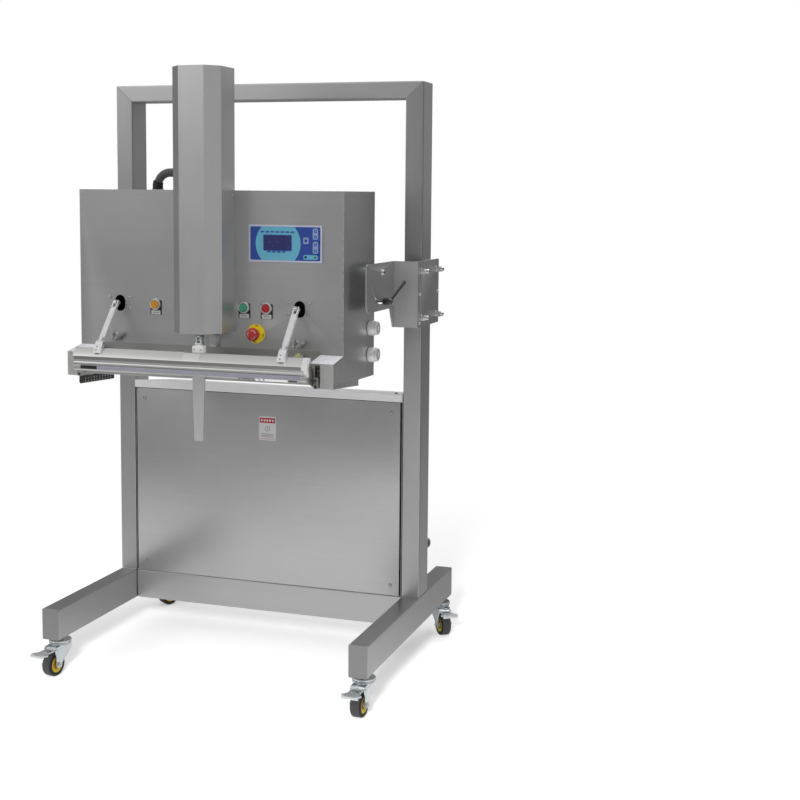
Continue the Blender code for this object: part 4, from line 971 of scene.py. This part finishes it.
def dress_links():
    for name, side in SIDES:
        base, tilt = MACHINE @ at(side * 300, -449, 1200), Matrix.Rotation(-LINK_ANGLE, 4, "X")
        length = 149.8
        body = [(-8.8, 18 - length), (8.8, 18 - length), (8.8, -18.5), (-8.8, -18.5)]
        tine = [(4.8, -20), (8.8, -20), (8.8, 5.5), (7.8, 7.4), (5.8, 7.4), (4.8, 6)]
        lower = [(8.5, 10 - length), (4.4, 24 - length), (-4.4, 24 - length), (-8.5, 10 - length)]
        tongue = arc((0, -length), 8.4, 180, 360, 20) + lower
        sideways, inward = along_x(0, 0), facing((0, 1, 0))
        shapes = [
            (plate(body, -4.4, 4.4, 0.8), FRONT, ARM_WHITE),
            (plate(tine, -4.4, 4.4, 0.6), FRONT, ARM_WHITE),
            (plate([(-u, v) for u, v in reversed(tine)], -4.4, 4.4, 0.6), FRONT, ARM_WHITE),
            (plate(tongue, -4.4, 4.4, 0.6), across_x(), ARM_WHITE),
            (lathe(both_ways([(0, 11.6), (3, 11.3), (4, 10.4)]), 24), sideways, CHROME),
            # A thin dark line where the link's tines meet its body: painted shade in the gap.
            (plate(pill(9.4, 0.8, 0.3), -4, 4, 0), FRONT @ at(0, -17.5, 0), ZINC_DARK),
        ]
        for clip_x in (-9.6, 9.6):
            shapes.append((ring(5.6, 3.6, -0.5, 0.5, 24), along_x(0, 0, clip_x), ZINC))
        piece(name + "_link_detail", name + "_link_body", shapes, (name + "_link",), base @ tilt)
        rod = [
            (lathe([(0, 88), (5.9, 88), (5.9, 15), (5.2, 13.5), (3.9, 13), (3.9, 6), (0, 6)], 32), inward, CHROME),
            (ring(8.9, 4.3, -4.1, 4.1, 40), sideways, CHROME),
            (lathe([(0, 91), (13.4, 91), (13.6, 90.5), (13.6, 83.5), (0, 83)], 40), inward, BLACK),
        ]
        piece(name + "_rod_detail", name + "_rod_body", rod, (name + "_rod",), base)
        lock = along_x(-166, 1209, side * 477.5, side)
        hub = lathe([
            (0, 26.8), (6.2, 26.4), (8, 25), (9.8, 20.5), (10.6, 15), (11.2, 0.8), (4, 0.6), (4, -50.3), (0, -50.3),
        ], 40)
        root, tip = Vector((side * 496.5, -164, 1211)), Vector((side * 525.5, -110, 1267))
        reach = (tip - root).length
        stations = [(i / 24, 4.2 + 1.2 * i / 24) for i in range(24)]
        stations += [(1 + 4.8 * sin(a) / reach, 5.4 * cos(a)) for a in (0, 0.5, 0.9, 1.2, 1.45)]
        arm = sweep([root.lerp(tip, share) for share, _ in stations], [r for _, r in stations], 20, 40)
        # A light grey strip along the top of the black arm: a painted highlight.
        shine = sweep([root.lerp(tip, 0.15), root.lerp(tip, 0.95)], (2.6, 3.6), 16, 40)
        shapes = [(hub, lock, BLACK_GLOSS), (arm, HERE, BLACK_GLOSS), (shine, at(-1.4 * side, -0.6, 2.2), LABEL_GREY)]
        for i in range(14):
            shapes.append((block((1.2, 2, 12), 0.3, 1), lock @ spun(i / 14) @ at(10.6, 0, 8.5), BLACK))
        piece(name + "_lock_lever_detail", name + "_lock_lever_body", shapes, (name + "_lock_lever",))


def dress_nozzle():
    base = MACHINE @ at(13.5, -514, 0)
    wide, narrow, shoulder, top, tip = 19.3, 14.3, 975, 1066, 800.2
    outline = [(-wide, top), (-wide, shoulder), (-narrow, tip), (narrow, tip), (wide, shoulder), (wide, top)]
    # The nozzle's opening is a black slit: painted shade inside it.
    mouth = plate(pill(22.5, 3.4, 1.2), 0, 0.4, 0)
    shapes = [
        (plate(outline, -3.9, 3.9, 1.6, 3), FRONT, STEEL_TOWER),
        (mouth, at(0, 0, tip - 0.2), BLACK),
        # The white block glows: painted light.
        (block((34, 24, 20.3), 1.2, 3), at(0, 2, 1076.2), BLOCK_WHITE),
    ]
    for x in (-11, 11):
        shapes += dome_bolt((x, -9.9, 1076.3), 2.6, 1.4)
    piece("nozzle_detail", "nozzle_body", shapes, ("nozzle",), base)
    base = base @ at(0, 6, 0)
    fork = [
        (block((23, 18, 8), 1), at(0, 0, 1091.2), PEDAL),
        (block((5, 17, 30), 0.9), at(-7, 0, 1102.5), PEDAL),
        (block((5, 17, 30), 0.9), at(7, 0, 1102.5), PEDAL),
        (block((19, 17, 6), 1.2), at(0, 0, 1115), PEDAL),
        (lathe(both_ways([(0, 11.2), (4, 11), (4.4, 10)]), 20), along_x(0, 1103), ZINC),
        (lathe([(0, 1445), (6.3, 1445), (6.3, 1117), (0, 1117)], 32), HERE, CHROME),
        (hexagon(14, 1118.5, 1124.5, 0.6), HERE, CHROME),
        (lathe([(0, 1450), (18.1, 1450), (18.4, 1448), (18.4, 1432), (18.1, 1430), (0, 1430)], 40), HERE, BLACK),
    ]
    piece("nozzle_rod_detail", "nozzle_body", fork, ("nozzle_rod",), base)


def dress_small_parts():
    """Fittings round the sealing bar: hinge blocks, springs, a bag guide, the foot sheets and an air fitting; the
    foot sheets, the head's edge strips, the vent strip and the vent inserts carry painted light and shade.
    """
    shapes = [(block((36, 1.6, 46), 0.4), at(23, HEAD_Y - 0.9, 1098), STEEL_TOWER)]
    tilt = Matrix.Rotation(atan2(15, 81.8), 4, "X")
    for side in (-1, 1):
        shapes += [
            # A glowing sheet on the foot's top, painted light, and a matte grey sheet on its front, painted shading.
            (block((73, 82.6, 0.4), 0.1, 1), at(side * 402.5, -464.1, 1056.9) @ tilt, FOOT_TOP),
            (block((41.5, 0.4, 72), 0.1, 1), at(side * 418, -505.2, 1012.7), FOOT_FRONT),
            # A bright strip down each front edge of the head: a painted highlight.
            (block((1, 1, 483), 0.3, 1), at(side * 438.5, -423, 1306.2), TURNED),
        ]
    # The vented strip on the left foot's inner wall is drawn dark: painted shade.
    strip = [(-295, 970), (-503, 974), (-504, 956), (-499, 950), (-295, 940)]
    shapes.append((plate(strip, -400, -398.5, 0.4), across_x(), VENT_SHADED))
    for i in range(10):
        for lift in (0, 8):
            y = -470 + 17 * i
            stud = lathe([(0, 0.8), (1.6, 0.6), (1.9, 0), (0, 0)], 16)
            shapes.append((stud, facing((1, 0, 0), (-398.5, y, 956 - 0.048 * (y + 500) + lift)), WHITE))
    piece("head_trim", "head", shapes)
    for name, side in SIDES:
        spring_x = side * 300 + (-26 if side < 0 else -18)
        coil = []
        for i in range(97):
            a = 2 * pi * i / 12
            coil.append((spring_x + 4.5 * cos(a), HEAD_Y - 6 + 4.5 * sin(a), 1081 + 0.3 * i))
        hook_x, hinge_x = spring_x + 12, side * 389.3
        shapes = [
            (wire(coil, 1, 6), HERE, CHROME),
            (block((22, 1.6, 16), 0.4), at(hook_x, HEAD_Y - 0.9, 1098), CHROME),
            (lathe([(0, 34), (7, 33), (7.5, 4), (0, 0)], 24),
             facing((0.7, -0.25, 0.6), (hook_x, HEAD_Y - 10, 1082)), SMOKE),
            (block((10.8, 40, 30), 1), at(hinge_x, -474, 1026.2), BROWN),
            (block((10.4, 0.6, 31), 0.2, 1), at(hinge_x, -521.4, 993.5), BROWN),
        ]
        shapes += dome_bolt((hook_x, HEAD_Y - 1.7, 1098), 4.2, 3.2)
        for y, z in ((-494.2, 1033), (-494.2, 1020), (-521.8, 1001), (-521.8, 984)):
            shapes += dome_bolt((hinge_x, y, z), 3.6, 1.6, look=BLACK)
        piece(name + "_spring", "head", shapes)
    tilted = facing((0, -0.4, 1), (304, HEAD_Y - 16, 1048))
    fitting = [
        (lathe([(0, 20), (8, 19), (10, 16.5), (10, 6), (7, 5), (7, 0), (0, 0)], 32), tilted, YELLOW_CLEAR),
        (ring(14, 9.5, 6, 13), tilted, WHITE),
        (hexagon(13, -3, 2, 0.5), tilted, CHROME),
    ]
    piece("air_fitting", "head", fitting)
    # Black inserts behind the vent slots: painted shadow in the openings.
    vents = []
    for side in (-1, 1):
        for i in range(10):
            y = -494 + 20.5 * i
            vents.append((block((0.4, 3.8, 12.8), 0, 1), at(side * 428.5, y, 985.5 - 0.0748 * (y + 505)), BLACK))
    piece("vent_shadow_insets", "head", vents)


def dress_floor():
    """A pale floor that fades into the white background. Reflected rays see it at half its colour and glowing in
    front of the machine: painted reflection on the steel's lower faces.
    """
    size = 14.0
    mesh = bpy.data.meshes.new("floor")
    mesh.from_pydata([(-size, -size, 0), (size, -size, 0), (size, size, 0), (-size, size, 0)], [], [(0, 1, 2, 3)])
    floor = new_object("floor", mesh)
    material, nodes = surface("studio_floor")
    mesh.materials.append(material)
    distance = nodes.add("VectorMath", {0: nodes.coords}, operation="LENGTH").outputs["Value"]
    seen = nodes.add("LightPath").outputs["Is Camera Ray"]
    fade = nodes.math("MULTIPLY", nodes.soft(distance, 0, 1, 1.2, 2.6), seen)
    shade = nodes.math("MULTIPLY_ADD", fade, -FLOOR_ALBEDO, FLOOR_ALBEDO)
    # Reflected rays see the floor at half its colour: a darker painted reflection.
    shade = nodes.math("MULTIPLY", shade, nodes.math("MULTIPLY_ADD", seen, 0.5, 0.5))
    y = nodes.add("SeparateXYZ", {"Vector": nodes.coords}).outputs["Y"]
    # A glow seen only by reflected rays, in front of the machine: painted reflection light on the steel.
    reflection_glow = nodes.math("MULTIPLY", nodes.soft(y, FLOOR_GLOW, 0, -0.2, 0.9), nodes.soft(y, 0, 1, -1.5, -0.5))
    reflection_glow = nodes.math("MULTIPLY", nodes.math("SUBTRACT", 1, seen), reflection_glow)
    lift = nodes.math("MULTIPLY_ADD", seen, FLOOR_LIFT, reflection_glow)
    nodes.shade({
        "Base Color": nodes.tint(1, shade), "Roughness": 1, "Specular IOR Level": 0, "Emission Color": (1, 1, 1, 1),
        "Emission Strength": nodes.math("MULTIPLY_ADD", fade, 1 - FLOOR_LIFT, lift),
    })
    return floor


def dress_light(floor):
    """A soft studio, and a low front light that only casts the machine's shadow on the floor."""
    world = bpy.data.worlds.new("studio")
    bpy.context.scene.world = world
    world.use_nodes = True
    nodes = Nodes(world.node_tree, "Background", "Generated")
    x, y, z = nodes.add("SeparateXYZ", {"Vector": nodes.coords}).outputs
    level = nodes.math("ADD", nodes.soft(y, SKY_FRONT, SKY_BACK, -0.9, 0.5), nodes.soft(x, SKY_LEFT, 0, -0.8, 0.3))
    level = nodes.math("ADD", level, nodes.soft(z, 0, SKY_ABOVE, 0.25, 0.95))
    seen = nodes.add("LightPath").outputs["Is Camera Ray"]
    mix = nodes.add("Mix", {0: seen, 2: level, 3: 1}, data_type="FLOAT")
    nodes.shade({"Strength": mix.outputs[0], "Color": (1, 1, 1, 1)})
    for name, place, target, size, power in LIGHTS:
        add_light(name, place, target, size, power)
    low = add_light("floor_shadow", (1.15, -4.35, 2.30), (0, 0, 0.1), 0.7, 250)
    lit = bpy.data.collections.new("floor_only")
    lit.objects.link(floor)
    low.light_linking.receiver_collection = lit
    bpy.context.scene.view_settings.view_transform = "Standard"


def add_light(name, place, target, size, power):
    data = bpy.data.lights.new(name, "AREA")
    data.shape = "SQUARE"
    data.size = size
    data.energy = power
    light = new_object(name, data)
    light.location = place
    light.rotation_euler = (Vector(target) - Vector(place)).to_track_quat("-Z", "Y").to_euler()
    return light


def add_camera():
    """The photograph's viewing angle."""
    place = Vector((1.824, -4.142, 1.544)) + CENTRE
    yaw, pitch, roll = radians(18.03), radians(5.68), radians(0.51)
    turn = Matrix.Rotation(yaw, 4, "Z") @ Matrix.Rotation(pi / 2 - pitch, 4, "X") @ Matrix.Rotation(roll, 4, "Z")
    camera = new_object("camera", bpy.data.cameras.new("camera"))
    camera.matrix_world = Matrix.Translation(place) @ turn
    camera.data.sensor_width = 36
    camera.data.lens = 1355.5 / 800 * 36
    camera.data.shift_y = -0.09
    bpy.context.scene.camera = camera


dress_stand()
for corner_name in HEADINGS:
    dress_caster(corner_name)
dress_cabinet()
dress_carriage()
dress_head()
dress_bar()
dress_links()
dress_nozzle()
dress_small_parts()
dress_light(dress_floor())
add_camera()
